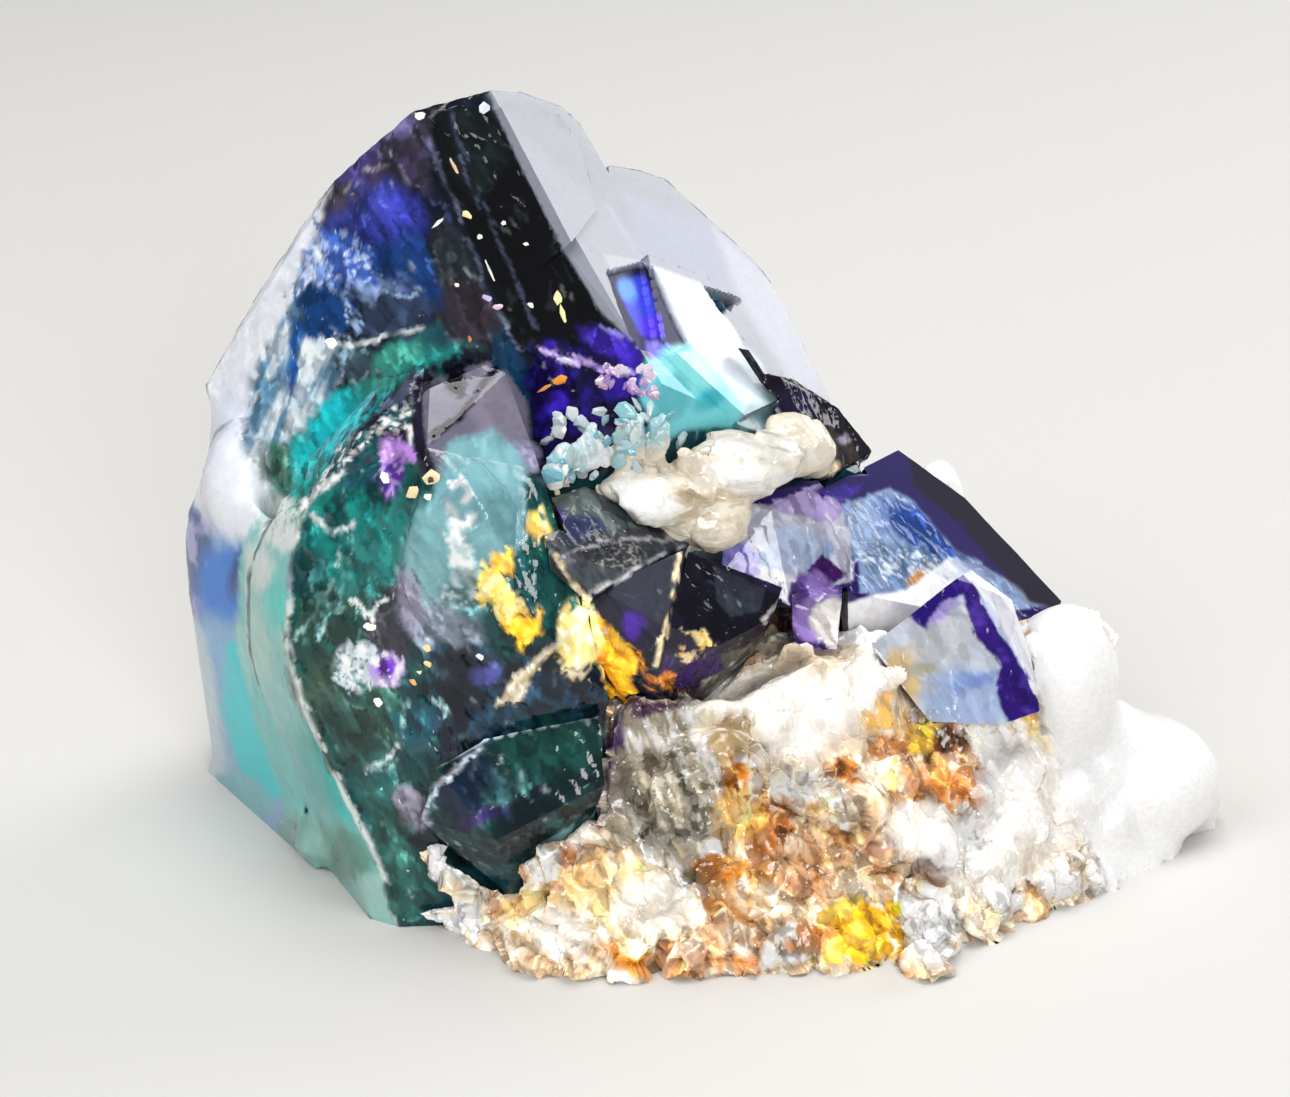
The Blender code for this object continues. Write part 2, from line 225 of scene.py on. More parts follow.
def lattice(cell: np.ndarray, seed: int) -> np.ndarray:
    """A repeatable value from 0 to 1 for each whole-number cell.

    Args:
        cell: Whole numbers, three a row.
        seed: Which set of values.

    Returns:
        One value a row.
    """
    mixed = cell[..., 0] * 374761393 + cell[..., 1] * 668265263 + cell[..., 2] * 1103515245 + seed * 97471
    mixed = (mixed ^ (mixed >> 13)) & 0xFFFFFFFF
    mixed = (mixed * 1274126177) & 0xFFFFFFFF
    return ((mixed ^ (mixed >> 16)) & 0xFFFFF) / 0xFFFFF


def smooth_noise(points: np.ndarray, size: float, seed: int = 0) -> np.ndarray:
    """Smooth noise from -1 to 1.

    Args:
        points: Places, one a row.
        size: The width of its lumps, in the points' unit.
        seed: Which noise.

    Returns:
        One value a row.
    """
    spot = points / size
    cell = np.floor(spot).astype(np.int64)
    part = spot - cell
    part = part * part * (3 - 2 * part)
    total = np.zeros(len(points))
    for corner in np.ndindex(2, 2, 2):
        step = np.array(corner)
        weight = np.prod(np.where(step == 1, part, 1 - part), axis=1)
        total += weight * lattice(cell + step, seed)
    return total * 2 - 1


def rough_noise(points: np.ndarray, size: float, seed: int = 0, octaves: int = 3) -> np.ndarray:
    """Noise with finer noise on it, from about -1 to 1.

    Args:
        points: Places, one a row.
        size: The width of the largest lumps.
        seed: Which noise.
        octaves: How many sizes, each half the one before.

    Returns:
        One value a row.
    """
    total, weight, whole = np.zeros(len(points)), 1.0, 0.0
    for i in range(octaves):
        total += weight * smooth_noise(points + 17.3 * i, size / 2**i, seed + 31 * i)
        whole += weight
        weight *= 0.55
    return total / whole


@dataclass
class Cells:
    """Space split into irregular cells, as grains fill a rock.

    Attributes:
        near: Each point's distance to its cell's centre, in cell widths.
        far: Its distance to the next cell's centre.
        own: A value from 0 to 1 that is the cell's own.
        way: From the cell's centre to the point, in cell widths.
    """

    near: np.ndarray
    far: np.ndarray
    own: np.ndarray
    way: np.ndarray

    @classmethod
    def at(cls, points: np.ndarray, size: float, seed: int = 0) -> Cells:
        """Finds the cell of each point.

        Args:
            points: Places, one a row.
            size: The cells' width.
            seed: Which cells.

        Returns:
            The cells.
        """
        spot = points / size
        base = np.floor(spot).astype(np.int64)
        near = np.full(len(points), 9.0)
        far = np.full(len(points), 9.0)
        own = np.zeros(len(points))
        way = np.zeros((len(points), 3))
        for step in np.ndindex(3, 3, 3):
            cell = base + np.array(step) - 1
            jitter = np.stack([lattice(cell, seed + k) for k in (1, 2, 3)], 1)
            offset = spot - (cell + 0.12 + 0.76 * jitter)
            gap = np.sqrt((offset * offset).sum(1))
            nearer = gap < near
            far = np.where(nearer, near, np.minimum(far, gap))
            own = np.where(nearer, lattice(cell, seed + 7), own)
            way = np.where(nearer[:, None], offset, way)
            near = np.where(nearer, gap, near)
        return cls(near, far, own, way)

    @property
    def seam(self) -> np.ndarray:
        """0 on the seam between two cells, and more inside a cell."""
        return self.far - self.near

    def facets(self) -> np.ndarray:
        """Heights from about -0.5 to 0.5 that tilt each cell its own way, as broken grains lie."""
        turn = self.own * 2 * math.pi * 7
        lean = np.stack([np.cos(turn), np.sin(turn * 1.7), np.sin(turn)], 1)
        return (self.way * lean).sum(1)


def ramp(value: np.ndarray, low: float, high: float) -> np.ndarray:
    """Rises smoothly from 0 at low to 1 at high."""
    part = np.clip((value - low) / (high - low), 0.0, 1.0)
    return part * part * (3 - 2 * part)


def outline_distance(spots: np.ndarray, outline: tuple[Pixel, ...], closed: bool = True) -> np.ndarray:
    """How far each spot lies from an outline.

    Args:
        spots: Pixels, one a row.
        outline: The corners of the outline.
        closed: Whether it closes on itself, and so has an inside.

    Returns:
        The distance in pixels, less than 0 inside.
    """
    near = np.full(len(spots), 1e9)
    inside = np.zeros(len(spots), bool)
    for (x0, y0), (x1, y1) in zip(outline, outline[1:] + outline[:1] if closed else outline[1:]):
        side = np.array((x1 - x0, y1 - y0))
        away = spots - np.array((x0, y0))
        along = np.clip((away @ side) / max(side @ side, 1e-9), 0, 1)
        near = np.minimum(near, np.linalg.norm(away - along[:, None] * side, axis=1))
        crosses = (spots[:, 1] < y0) != (spots[:, 1] < y1)
        if y0 != y1:
            reach = x0 + (spots[:, 1] - y0) / (y1 - y0) * (x1 - x0)
            inside ^= crosses & (spots[:, 0] < reach)
    return np.where(inside & closed, -near, near)


@dataclass(frozen=True)
class Zone:
    """A patch of colour in a stone.

    Attributes:
        at: The corners of its outline in the photograph, or the centre of an oval.
        tint: Its colour.
        size: An oval's half width and half height in pixels.
        turn: An oval's turn in degrees, clockwise.
        amount: How much of the colour beneath it covers, from 0 to 1.
        soft: How wide its edge fades, in pixels.
        warp: How far its edge wanders, in pixels.
        grain: How the second colour is spread.
        second: The second colour.
        share: How much of the second colour there is.
        scale: The size of the grain's features.
        lean: The way that streaks run, in degrees from the photograph's right, clockwise.
        clear: How far light goes through it, from 0 to 1, or None to leave that as it is.
        rough: Its roughness, or None.
        lift: How far it stands out of the face.
        bumpy: The height of its own fine lumps.
        deep: How far it reaches along the line of sight.
        width: The width of a vein along an open route, in pixels.
        busy: How far it is broken into shards, or None to leave that as it is.
    """

    at: tuple[Pixel, ...]
    tint: str
    size: Pixel = (0.0, 0.0)
    turn: float = 0.0
    amount: float = 1.0
    soft: float = 8.0
    warp: float = 4.0
    grain: Grain = Grain.PLAIN
    second: str = "#f2f3f8"
    share: float = 0.5
    scale: float = 1.2
    lean: float = 0.0
    clear: float | None = None
    rough: float | None = None
    lift: float = 0.0
    bumpy: float = 0.0
    deep: float = 7.0
    width: float = 0.0
    busy: float | None = None

    @property
    def middle(self) -> Pixel:
        """The middle of its outline or route."""
        if self.width:
            return self.at[len(self.at) // 2]
        xs, ys = zip(*self.at)
        return sum(xs) / len(xs), sum(ys) / len(ys)

    def cover(self, spots: np.ndarray) -> np.ndarray:
        """How much of the zone lies at each spot, from 0 to 1."""
        if self.width:
            gap = outline_distance(spots, self.at, closed=False) - self.width / 2
        elif self.size == (0.0, 0.0):
            gap = outline_distance(spots, self.at)
        else:
            turn = math.radians(self.turn)
            away = spots - np.array(self.at[0])
            across = away @ np.array((math.cos(turn), math.sin(turn))) / self.size[0]
            down = away @ np.array((-math.sin(turn), math.cos(turn))) / self.size[1]
            gap = (np.hypot(across, down) - 1.0) * min(self.size)
        return 1.0 - ramp(gap, -0.5 * self.soft, 0.5 * self.soft)

    def mix(self, points: np.ndarray, spots: np.ndarray, seed: int) -> np.ndarray:
        """How much of the second colour lies at each point, from 0 to 1."""
        if self.grain is Grain.CLOUD:
            value = rough_noise(points, self.scale * 2, seed, 4)
            return ramp(value, 0.30 - 0.9 * self.share, 0.65 - 0.9 * self.share)
        if self.grain is Grain.BUBBLES:
            found = Cells.at(points, self.scale, seed)
            return ramp(found.seam, 0.05, 0.35) * (found.own < self.share)
        if self.grain is Grain.STREAKS:
            turn = math.radians(self.lean)
            along = spots @ np.array((math.cos(turn), math.sin(turn))) / PIXELS_PER_MM
            over = spots @ np.array((-math.sin(turn), math.cos(turn))) / PIXELS_PER_MM
            grid = np.stack([along / 7.0, over, np.zeros(len(spots))], 1)
            value = rough_noise(grid, self.scale, seed, 3)
            return ramp(value, 0.40 - self.share, 0.65 - self.share)
        if self.grain is Grain.CRACKS:
            bend = [smooth_noise(points, self.scale, seed + k) for k in (4, 5, 6)]
            found = Cells.at(points + 0.35 * self.scale * np.stack(bend, 1), self.scale, seed)
            patchy = ramp(smooth_noise(points, self.scale * 2.2, seed + 9), 0.5 - self.share * 1.5, 0.8 - self.share)
            return (1 - ramp(found.seam, 0.02, 0.14)) * patchy
        if self.grain is Grain.SHARDS:
            return (Cells.at(points, self.scale, seed).own < self.share).astype(float)
        return np.zeros(len(points))


def area(tint: str, *corners: Pixel, **more: object) -> Zone:
    """A zone with straight sides between its corners."""
    return Zone(tuple(corners), tint, **more)


def oval(tint: str, middle: Pixel, wide: float, high: float, **more: object) -> Zone:
    """A zone with an oval outline of this half width and half height."""
    return Zone((middle,), tint, size=(wide, high), **more)


def vein(tint: str, width: float, *route: Pixel, **more: object) -> Zone:
    """A thin broken vein of this width in pixels along a route."""
    return Zone(route, tint, width=width, **({"soft": 3.0, "warp": 2.5, "deep": 5.0} | more))


@dataclass
class Stone:
    """A refined solid with its paint.

    Attributes:
        name: The piece's name.
        node: The CAD node that it replaces.
        points: Its vertices, one a row.
        faces: Its triangles, as vertex numbers.
        surface: The specimen's surface.
    """

    name: str
    node: str
    points: np.ndarray
    faces: np.ndarray
    surface: Surface
    start: np.ndarray = field(init=False)
    pixel: np.ndarray = field(init=False)
    depth: np.ndarray = field(init=False)
    colour: np.ndarray = field(init=False)
    clear: np.ndarray = field(init=False)
    rough: np.ndarray = field(init=False)
    lift: np.ndarray = field(init=False)
    busy: np.ndarray = field(init=False)

    def __post_init__(self) -> None:
        """Works out where the points lie in the photograph and which way they face."""
        count = len(self.points)
        self.start = self.points.copy()
        self.pixel, self.depth = self.surface.view.pixels(self.points)
        self.colour = np.zeros((count, 3))
        self.clear = np.zeros(count)
        self.rough = np.full(count, 0.12)
        self.lift = np.zeros(count)
        self.busy = np.full(count, 0.3)
        bend = np.stack([rough_noise(self.start, 1.8, k, 2) for k in (304, 305, 306)], 1)
        way = GROWTH / np.linalg.norm(GROWTH)
        drawn_out = self.start + 0.5 * bend - 0.6 * (self.start @ way)[:, None] * way
        self.shards = Cells.at(drawn_out, 0.95, 301)
        self.crumbs = Cells.at(drawn_out, 0.5, 303)
        turns = 44 * math.pi * np.stack([self.shards.own, self.crumbs.own])
        self.scatter = sum(k * np.stack([np.cos(t), np.sin(t)], 1) for k, t in zip((0.9, 0.5), turns))
        self.normals = self.vertex_normals()
        away = self.surface.view.centre - self.points
        away /= np.linalg.norm(away, axis=1, keepdims=True)
        self.facing = ramp((self.normals * away).sum(1), -0.45, -0.1)

    def vertex_normals(self) -> np.ndarray:
        """The unit normal at each vertex, weighted by its triangles' areas."""
        a, b, c = (self.points[self.faces[:, k]] for k in range(3))
        flat = np.cross(b - a, c - a)
        total = np.zeros_like(self.points)
        for k in range(3):
            np.add.at(total, self.faces[:, k], flat)
        return total / np.maximum(np.linalg.norm(total, axis=1, keepdims=True), 1e-12)

    def base(self, tint: str, clear: float, rough: float) -> None:
        """Covers the whole stone in one colour."""
        self.colour[:] = linear(tint)
        self.clear[:] = clear
        self.rough[:] = rough

    def blend(self, weight: np.ndarray, tint: str, chosen: np.ndarray | slice = slice(None)) -> None:
        """Mixes a colour in by a weight for each vertex."""
        aim = np.array(linear(tint))
        self.colour[chosen] += weight[:, None] * (aim - self.colour[chosen])

    def cloud(self, tint: str, size: float, low: float, high: float, seed: int) -> None:
        """Mixes a colour in where rough noise rises from low to high."""
        self.blend(ramp(rough_noise(self.start, size, seed, 4), low, high), tint)

    def round_off(self, weight: np.ndarray, passes: int) -> None:
        """Rounds the edges that the solid's flat faces leave.

        Args:
            weight: How far each vertex takes part, from 0 to 1.
            passes: How often each vertex moves to the middle of its neighbours.
        """
        ends = np.concatenate([self.faces[:, [0, 1]], self.faces[:, [1, 2]], self.faces[:, [2, 0]]])
        ends = ends[(weight[ends] > 0).any(axis=1)]
        one, other = ends.T
        count = np.maximum(np.bincount(one, minlength=len(self.points)), 1)
        share = (weight * (self.start[:, 2] > 0.05))[:, None]
        for _ in range(passes):
            sums = [np.bincount(one, self.start[other, k], len(self.points)) for k in range(3)]
            middle = np.stack(sums, 1) / count[:, None]
            self.start += share * (middle - self.start)
        self.points = self.start
        self.normals = self.vertex_normals()

    def shatter(self, strength: float = 1.0) -> None:
        """Breaks the busy parts into small shards of lighter and darker stone, with bright seams and specks."""
        busy = self.busy * strength
        shade = 1.3 * (self.crumbs.own - 0.5) + 1.5 * (self.shards.own - 0.5)
        self.colour *= np.exp(busy * shade)[:, None]
        patchy = rough_noise(self.start, 1.6, 91, 3)
        seams = busy * (1 - ramp(self.shards.seam, 0.03, 0.22))
        lit = seams * ramp(patchy, 0.15, 0.4) * (self.shards.own > 0.4)
        self.colour += lit[:, None] * (1.6 * self.colour + 0.10 * np.array(linear("#d4e6ea")))
        specks = busy * (self.crumbs.own > 0.93) * (1 - ramp(self.crumbs.near, 0.12, 0.36))
        self.colour += specks[:, None] * (0.5 * np.array(linear("#e4eef0")) - 0.4 * self.colour)
        self.colour *= (1 - 0.7 * seams * ramp(-patchy, 0.05, 0.3))[:, None]
        self.colour = np.clip(self.colour, 0, 1)
        self.lift += busy * (0.09 * self.shards.facets() + 0.04 * self.crumbs.facets())

    def paint(self, zones: list[Zone], busy: float | None = None) -> None:
        """Paints the zones in their order, broken into shards as far as busy says where a zone doesn't say."""
        for seed, zone in enumerate(zones):
            level = self.surface.depth(zone.middle)
            if level is None:
                LOG.warning("%s: the zone at %s misses the specimen", self.name, zone.middle)
                continue
            margin = zone.soft + 2 * zone.warp + max(zone.size) + zone.width
            low = np.min(np.array(zone.at), axis=0) - margin
            high = np.max(np.array(zone.at), axis=0) + margin
            near = np.abs(self.depth - level) < zone.deep + 3
            inside = ((self.pixel > low) & (self.pixel < high)).all(1) & near & (self.facing > 0)
            chosen = np.flatnonzero(inside)
            if not len(chosen):
                continue
            points, spots = self.start[chosen], self.pixel[chosen]
            wander = np.stack([rough_noise(points, 1.6, 50 + 2 * seed + k, 3) for k in (0, 1)], 1)
            aim = busy if zone.busy is None else zone.busy
            broken = 1.0 if aim is None else min(1.0, 0.2 + 1.5 * aim)
            weight = zone.cover(spots + (wander + broken * self.scatter[chosen]) * zone.warp)
            if zone.width:
                weight *= ramp(rough_noise(points, 1.2, 170 + seed, 2), -0.4, 0.1)
            weight *= 1 - ramp(np.abs(self.depth[chosen] - level), zone.deep, zone.deep + 3)
            weight *= zone.amount * self.facing[chosen]
            self.blend(weight, zone.tint, chosen)
            if zone.grain is not Grain.PLAIN:
                self.blend(weight * zone.mix(points, spots, 200 + 13 * seed), zone.second, chosen)
            if zone.clear is not None:
                self.clear[chosen] += weight * (zone.clear - self.clear[chosen])
            if zone.rough is not None:
                self.rough[chosen] += weight * (zone.rough - self.rough[chosen])
            if aim is not None:
                self.busy[chosen] += weight * (aim - self.busy[chosen])
            self.lift[chosen] += weight * (zone.lift + zone.bumpy * rough_noise(points, 0.9, 90, 3))

    def cover_of(self, outline: tuple[Pixel, ...], soft: float = 14.0) -> np.ndarray:
        """How much of an outline in the photograph lies at each vertex, from 0 to 1."""
        return 1.0 - ramp(outline_distance(self.pixel, outline), -0.5 * soft, 0.5 * soft)

    def move(self) -> None:
        """Moves the vertices along their normals by the lift, inside the node's box and off its flat base."""
        self.lift[(self.start[:, 2] < 0.05) & (self.normals[:, 2] < -0.5)] = 0.0
        low, high = (np.array(corner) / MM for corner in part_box(self.node))
        self.points = np.clip(self.start + self.normals * self.lift[:, None], low, high)

    def build(self, material: bpy.types.Material, smooth_angle: float = 24.0) -> bpy.types.Object:
        """Makes the Blender object.

        Args:
            material: Its material, which reads the paint.
            smooth_angle: Edges flatter than this many degrees are shaded smooth.

        Returns:
            The object.
        """
        piece = painted_mesh(self.name, self.points, self.faces, self.colour, self.clear, self.rough, material)
        piece.data.shade_smooth()
        piece.data.set_sharp_from_angle(angle=math.radians(smooth_angle))
        return piece


def painted_mesh(
    name: str,
    points: np.ndarray,
    faces: np.ndarray | list,
    colour: np.ndarray,
    clear: np.ndarray,
    rough: np.ndarray,
    material: bpy.types.Material,
) -> bpy.types.Object:
    """Makes an object with its paint as attributes of its vertices.

    Args:
        name: The object's name.
        points: Its vertices, one a row.
        faces: Its faces, as vertex numbers.
        colour: A linear colour for each vertex.
        clear: How far light goes through, for each vertex.
        rough: The roughness at each vertex.
        material: The material that reads the paint.

    Returns:
        The object, linked to the scene.
    """
    mesh = bpy.data.meshes.new(name)
    listed = faces.tolist() if isinstance(faces, np.ndarray) else faces
    mesh.from_pydata((points * MM).tolist(), [], listed)
    paint = mesh.attributes.new("zone", "FLOAT_COLOR", "POINT")
    rgba = np.concatenate([np.clip(colour, 0, 1), np.ones((len(points), 1))], 1)
    paint.data.foreach_set("color", rgba.astype(np.float32).ravel())
    for layer_name, values in (("clear", clear), ("polish", rough)):
        layer = mesh.attributes.new(layer_name, "FLOAT", "POINT")
        layer.data.foreach_set("value", np.clip(values, 0, 1).astype(np.float32))
    mesh.materials.append(material)
    piece = bpy.data.objects.new(name, mesh)
    bpy.context.scene.collection.objects.link(piece)
    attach(piece, BODY)
    return piece


def halve_long_edges(
    points: np.ndarray, faces: np.ndarray, marked: np.ndarray, limit: float
) -> tuple[np.ndarray, np.ndarray, np.ndarray, bool]:
    """Puts a vertex in the middle of each long edge of the marked triangles, and splits the triangles to suit.

    Args:
        points: The vertices, one a row.
        faces: The triangles, as vertex numbers.
        marked: Whether each triangle is to be refined.
        limit: The longest edge that is left as it is.

    Returns:
        The new vertices, triangles and marks, and whether anything was split.
    """
    ends = np.stack([faces, np.roll(faces, -1, axis=1)], 2).reshape(-1, 2)
    pairs, number = np.unique(np.sort(ends, axis=1), axis=0, return_inverse=True)
    number = number.reshape(-1, 3)
    long = np.linalg.norm(points[pairs[:, 0]] - points[pairs[:, 1]], axis=1) > limit
    wanted = np.zeros(len(pairs), bool)
    wanted[number[marked].ravel()] = True
    split = long & wanted
    if not split.any():
        return points, faces, marked, False
    middle = np.full(len(pairs), -1)
    middle[split] = len(points) + np.arange(split.sum())
    points = np.concatenate([points, points[pairs[split]].mean(axis=1)])
    new = middle[number]
    count = (new >= 0).sum(axis=1)
    first = np.where(count == 1, np.argmax(new >= 0, axis=1), (np.argmin(new, axis=1) + 1) % 3)
    order = (first[:, None] + np.arange(3)) % 3
    a, b, c = np.take_along_axis(faces, order, 1).T
    m, n, o = np.take_along_axis(new, order, 1).T
    nearer = np.linalg.norm(points[a] - points[n], axis=1) < np.linalg.norm(points[m] - points[c], axis=1)
    pieces = [(count == 0, (a, b, c))]
    pieces += [(count == 1, part) for part in ((a, m, c), (m, b, c))]
    pieces += [(count == 2, (m, b, n))]
    pieces += [((count == 2) & nearer, part) for part in ((a, m, n), (a, n, c))]
    pieces += [((count == 2) & ~nearer, part) for part in ((m, n, c), (a, m, c))]
    pieces += [(count == 3, part) for part in ((a, m, o), (m, b, n), (o, n, c), (m, n, o))]
    triangles = np.concatenate([np.stack([corner[kind] for corner in part], 1) for kind, part in pieces])
    marks = np.concatenate([marked[kind] for kind, _ in pieces])
    return points, triangles, marks, True


@dataclass
class Refiner:
    """Cuts a solid's triangles small, finest where the photograph shows them.

    Attributes:
        surface: The specimen's surface.
        coarse: The longest edge on the hidden sides.
        fine: The longest edge where the camera sees the stone.
    """

    surface: Surface
    coarse: float = 1.0
    fine: float = 0.2

    def seen(self, corners: np.ndarray) -> bool:
        """Whether the camera sees a triangle."""
        middle = corners.mean(axis=0)
        normal = np.cross(corners[1] - corners[0], corners[2] - corners[0])
        away = self.surface.view.centre - middle
        away /= np.linalg.norm(away)
        if normal @ away < -0.05 * np.linalg.norm(normal):
            return False
        start = Vector((middle + away * 0.4) * MM)
        return self.surface.tree.ray_cast(start, Vector(away))[0] is None

    def refine(self, node: str, fine: float | None = None) -> Stone:
        """Makes a stone from a CAD node.

        Args:
            node: The CAD node.
            fine: A longest seen edge of its own.

        Returns:
            The stone, unpainted.
        """
        shape = bmesh.new()
        shape.from_mesh(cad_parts[node].data)
        bmesh.ops.remove_doubles(shape, verts=shape.verts, dist=1e-6)
        shape.verts.index_update()
        points = np.array([vert.co[:] for vert in shape.verts]) / MM
        faces = np.array([[vert.index for vert in face.verts] for face in shape.faces])
        shape.free()
        marks, more = np.ones(len(faces), bool), True
        while more:
            points, faces, marks, more = halve_long_edges(points, faces, marks, self.coarse)
        marks, more = np.array([self.seen(points[face]) for face in faces]), True
        while more:
            points, faces, marks, more = halve_long_edges(points, faces, marks, fine or self.fine)
        return Stone(f"{node}_stone", node, points, faces, self.surface)


def add_node(
    tree: bpy.types.NodeTree,
    kind: str,
    settings: dict[str, object] | None = None,
    links: dict[str, bpy.types.NodeSocket] | None = None,
) -> bpy.types.Node:
    """Adds a shader node with its settings and links.

    Args:
        tree: The material's node tree.
        kind: The node's type, such as "ShaderNodeBump".
        settings: Values by the name of a property or an input.
        links: Output sockets by the name of the input that they feed.

    Returns:
        The node.
    """
    node = tree.nodes.new(kind)
    for name, value in (settings or {}).items():
        if hasattr(node, name):
            setattr(node, name, value)
        else:
            node.inputs[name].default_value = value
    for name, socket in (links or {}).items():
        tree.links.new(socket, node.inputs[name])
    return node


@dataclass(frozen=True)
class PaintedMineral:
    """A mineral whose colour, clarity and polish come from the piece's paint.

    Attributes:
        name: The material's name.
        ior: Its index of refraction.
        pit: The width of the fine unevenness of its faces.
        relief: How strong that unevenness is.
        mottle: How far its colour varies with it.
        absorb: The colour that thick stone turns to, or None for an opaque stone.
        density: How fast it does so, for each metre.
    """

    name: str
    ior: float
    pit: float = 0.5
    relief: float = 0.10
    mottle: float = 0.16
    absorb: str | None = None
    density: float = 60.0

    def material(self) -> bpy.types.Material:
        """Builds the material."""
        made = bpy.data.materials.new(self.name)
        made.use_nodes = True
        tree = made.node_tree
        shader = tree.nodes["Principled BSDF"]
        zone = add_node(tree, "ShaderNodeAttribute", {"attribute_name": "zone"})
        clear = add_node(tree, "ShaderNodeAttribute", {"attribute_name": "clear"})
        polish = add_node(tree, "ShaderNodeAttribute", {"attribute_name": "polish"})
        place = add_node(tree, "ShaderNodeTexCoord")
        unevenness = add_node(
            tree,
            "ShaderNodeTexNoise",
            {"Scale": 1.0 / (self.pit * MM), "Detail": 4.0},
            {"Vector": place.outputs["Object"]},
        )
        shade = add_node(
            tree,
            "ShaderNodeMapRange",
            {"From Min": 0.3, "From Max": 0.7, "To Min": 1.0 - self.mottle, "To Max": 1.0 + self.mottle},
            {"Value": unevenness.outputs["Fac"]},
        )
        toned = add_node(
            tree,
            "ShaderNodeVectorMath",
            {"operation": "SCALE"},
            {"Vector": zone.outputs["Color"], "Scale": shade.outputs["Result"]},
        )
        bump = add_node(
            tree,
            "ShaderNodeBump",
            {"Strength": self.relief, "Distance": 0.0002},
            {"Height": unevenness.outputs["Fac"]},
        )
        tree.links.new(toned.outputs["Vector"], shader.inputs["Base Color"])
        tree.links.new(clear.outputs["Fac"], shader.inputs["Transmission Weight"])
        tree.links.new(polish.outputs["Fac"], shader.inputs["Roughness"])
        tree.links.new(bump.outputs["Normal"], shader.inputs["Normal"])
        shader.inputs["IOR"].default_value = self.ior
        if self.absorb:
            absorb = add_node(tree, "ShaderNodeVolumeAbsorption", {"Density": self.density})
            absorb.inputs["Color"].default_value = (*linear(self.absorb), 1.0)
            tree.links.new(absorb.outputs["Volume"], tree.nodes["Material Output"].inputs["Volume"])
        return made


@dataclass
class Pile:
    """Many small bodies that are joined in one mesh.

    Attributes:
        name: The piece's name.
    """

    name: str
    points: list[np.ndarray] = field(default_factory=list)
    faces: list[list[int]] = field(default_factory=list)
    colour: list[np.ndarray] = field(default_factory=list)
    clear: list[np.ndarray] = field(default_factory=list)
    rough: list[np.ndarray] = field(default_factory=list)
    count: int = 0

    def add(
        self, points: np.ndarray, faces: list[list[int]], tint: str, clear: float = 0.0, rough: float = 0.3
    ) -> None:
        """Adds one body.

        Args:
            points: Its vertices, one a row.
            faces: Its faces, numbered from 0.
            tint: Its colour.
            clear: How far light goes through it.
            rough: Its roughness.
        """
        self.points.append(points)
        self.faces.extend([[i + self.count for i in face] for face in faces])
        self.colour.append(np.tile(linear(tint), (len(points), 1)))
        self.clear.append(np.full(len(points), clear))
        self.rough.append(np.full(len(points), rough))
        self.count += len(points)

    def build(self, material: bpy.types.Material, smooth_angle: float = 35.0) -> bpy.types.Object | None:
        """Makes the Blender object, held above the floor."""
        if not self.points:
            return None
        points = np.concatenate(self.points)
        low, high = (np.array(corner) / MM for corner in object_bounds())
        points = np.clip(points, low, high)
        piece = painted_mesh(
            self.name,
            points,
            self.faces,
            np.concatenate(self.colour),
            np.concatenate(self.clear),
            np.concatenate(self.rough),
            material,
        )
        piece.data.shade_smooth()
        piece.data.set_sharp_from_angle(angle=math.radians(smooth_angle))
        return piece


def frame_on(normal: np.ndarray, turn: float = 0.0) -> np.ndarray:
    """Three unit directions as rows, the last one along the normal, the others turned about it by radians."""
    helper = np.array((0.0, 0.0, 1.0)) if abs(normal[2]) < 0.9 else np.array((0.0, 1.0, 0.0))
    side = np.cross(helper, normal)
    side /= np.linalg.norm(side)
    other = np.cross(normal, side)
    first = side * math.cos(turn) + other * math.sin(turn)
    return np.stack([first, np.cross(normal, first), normal])


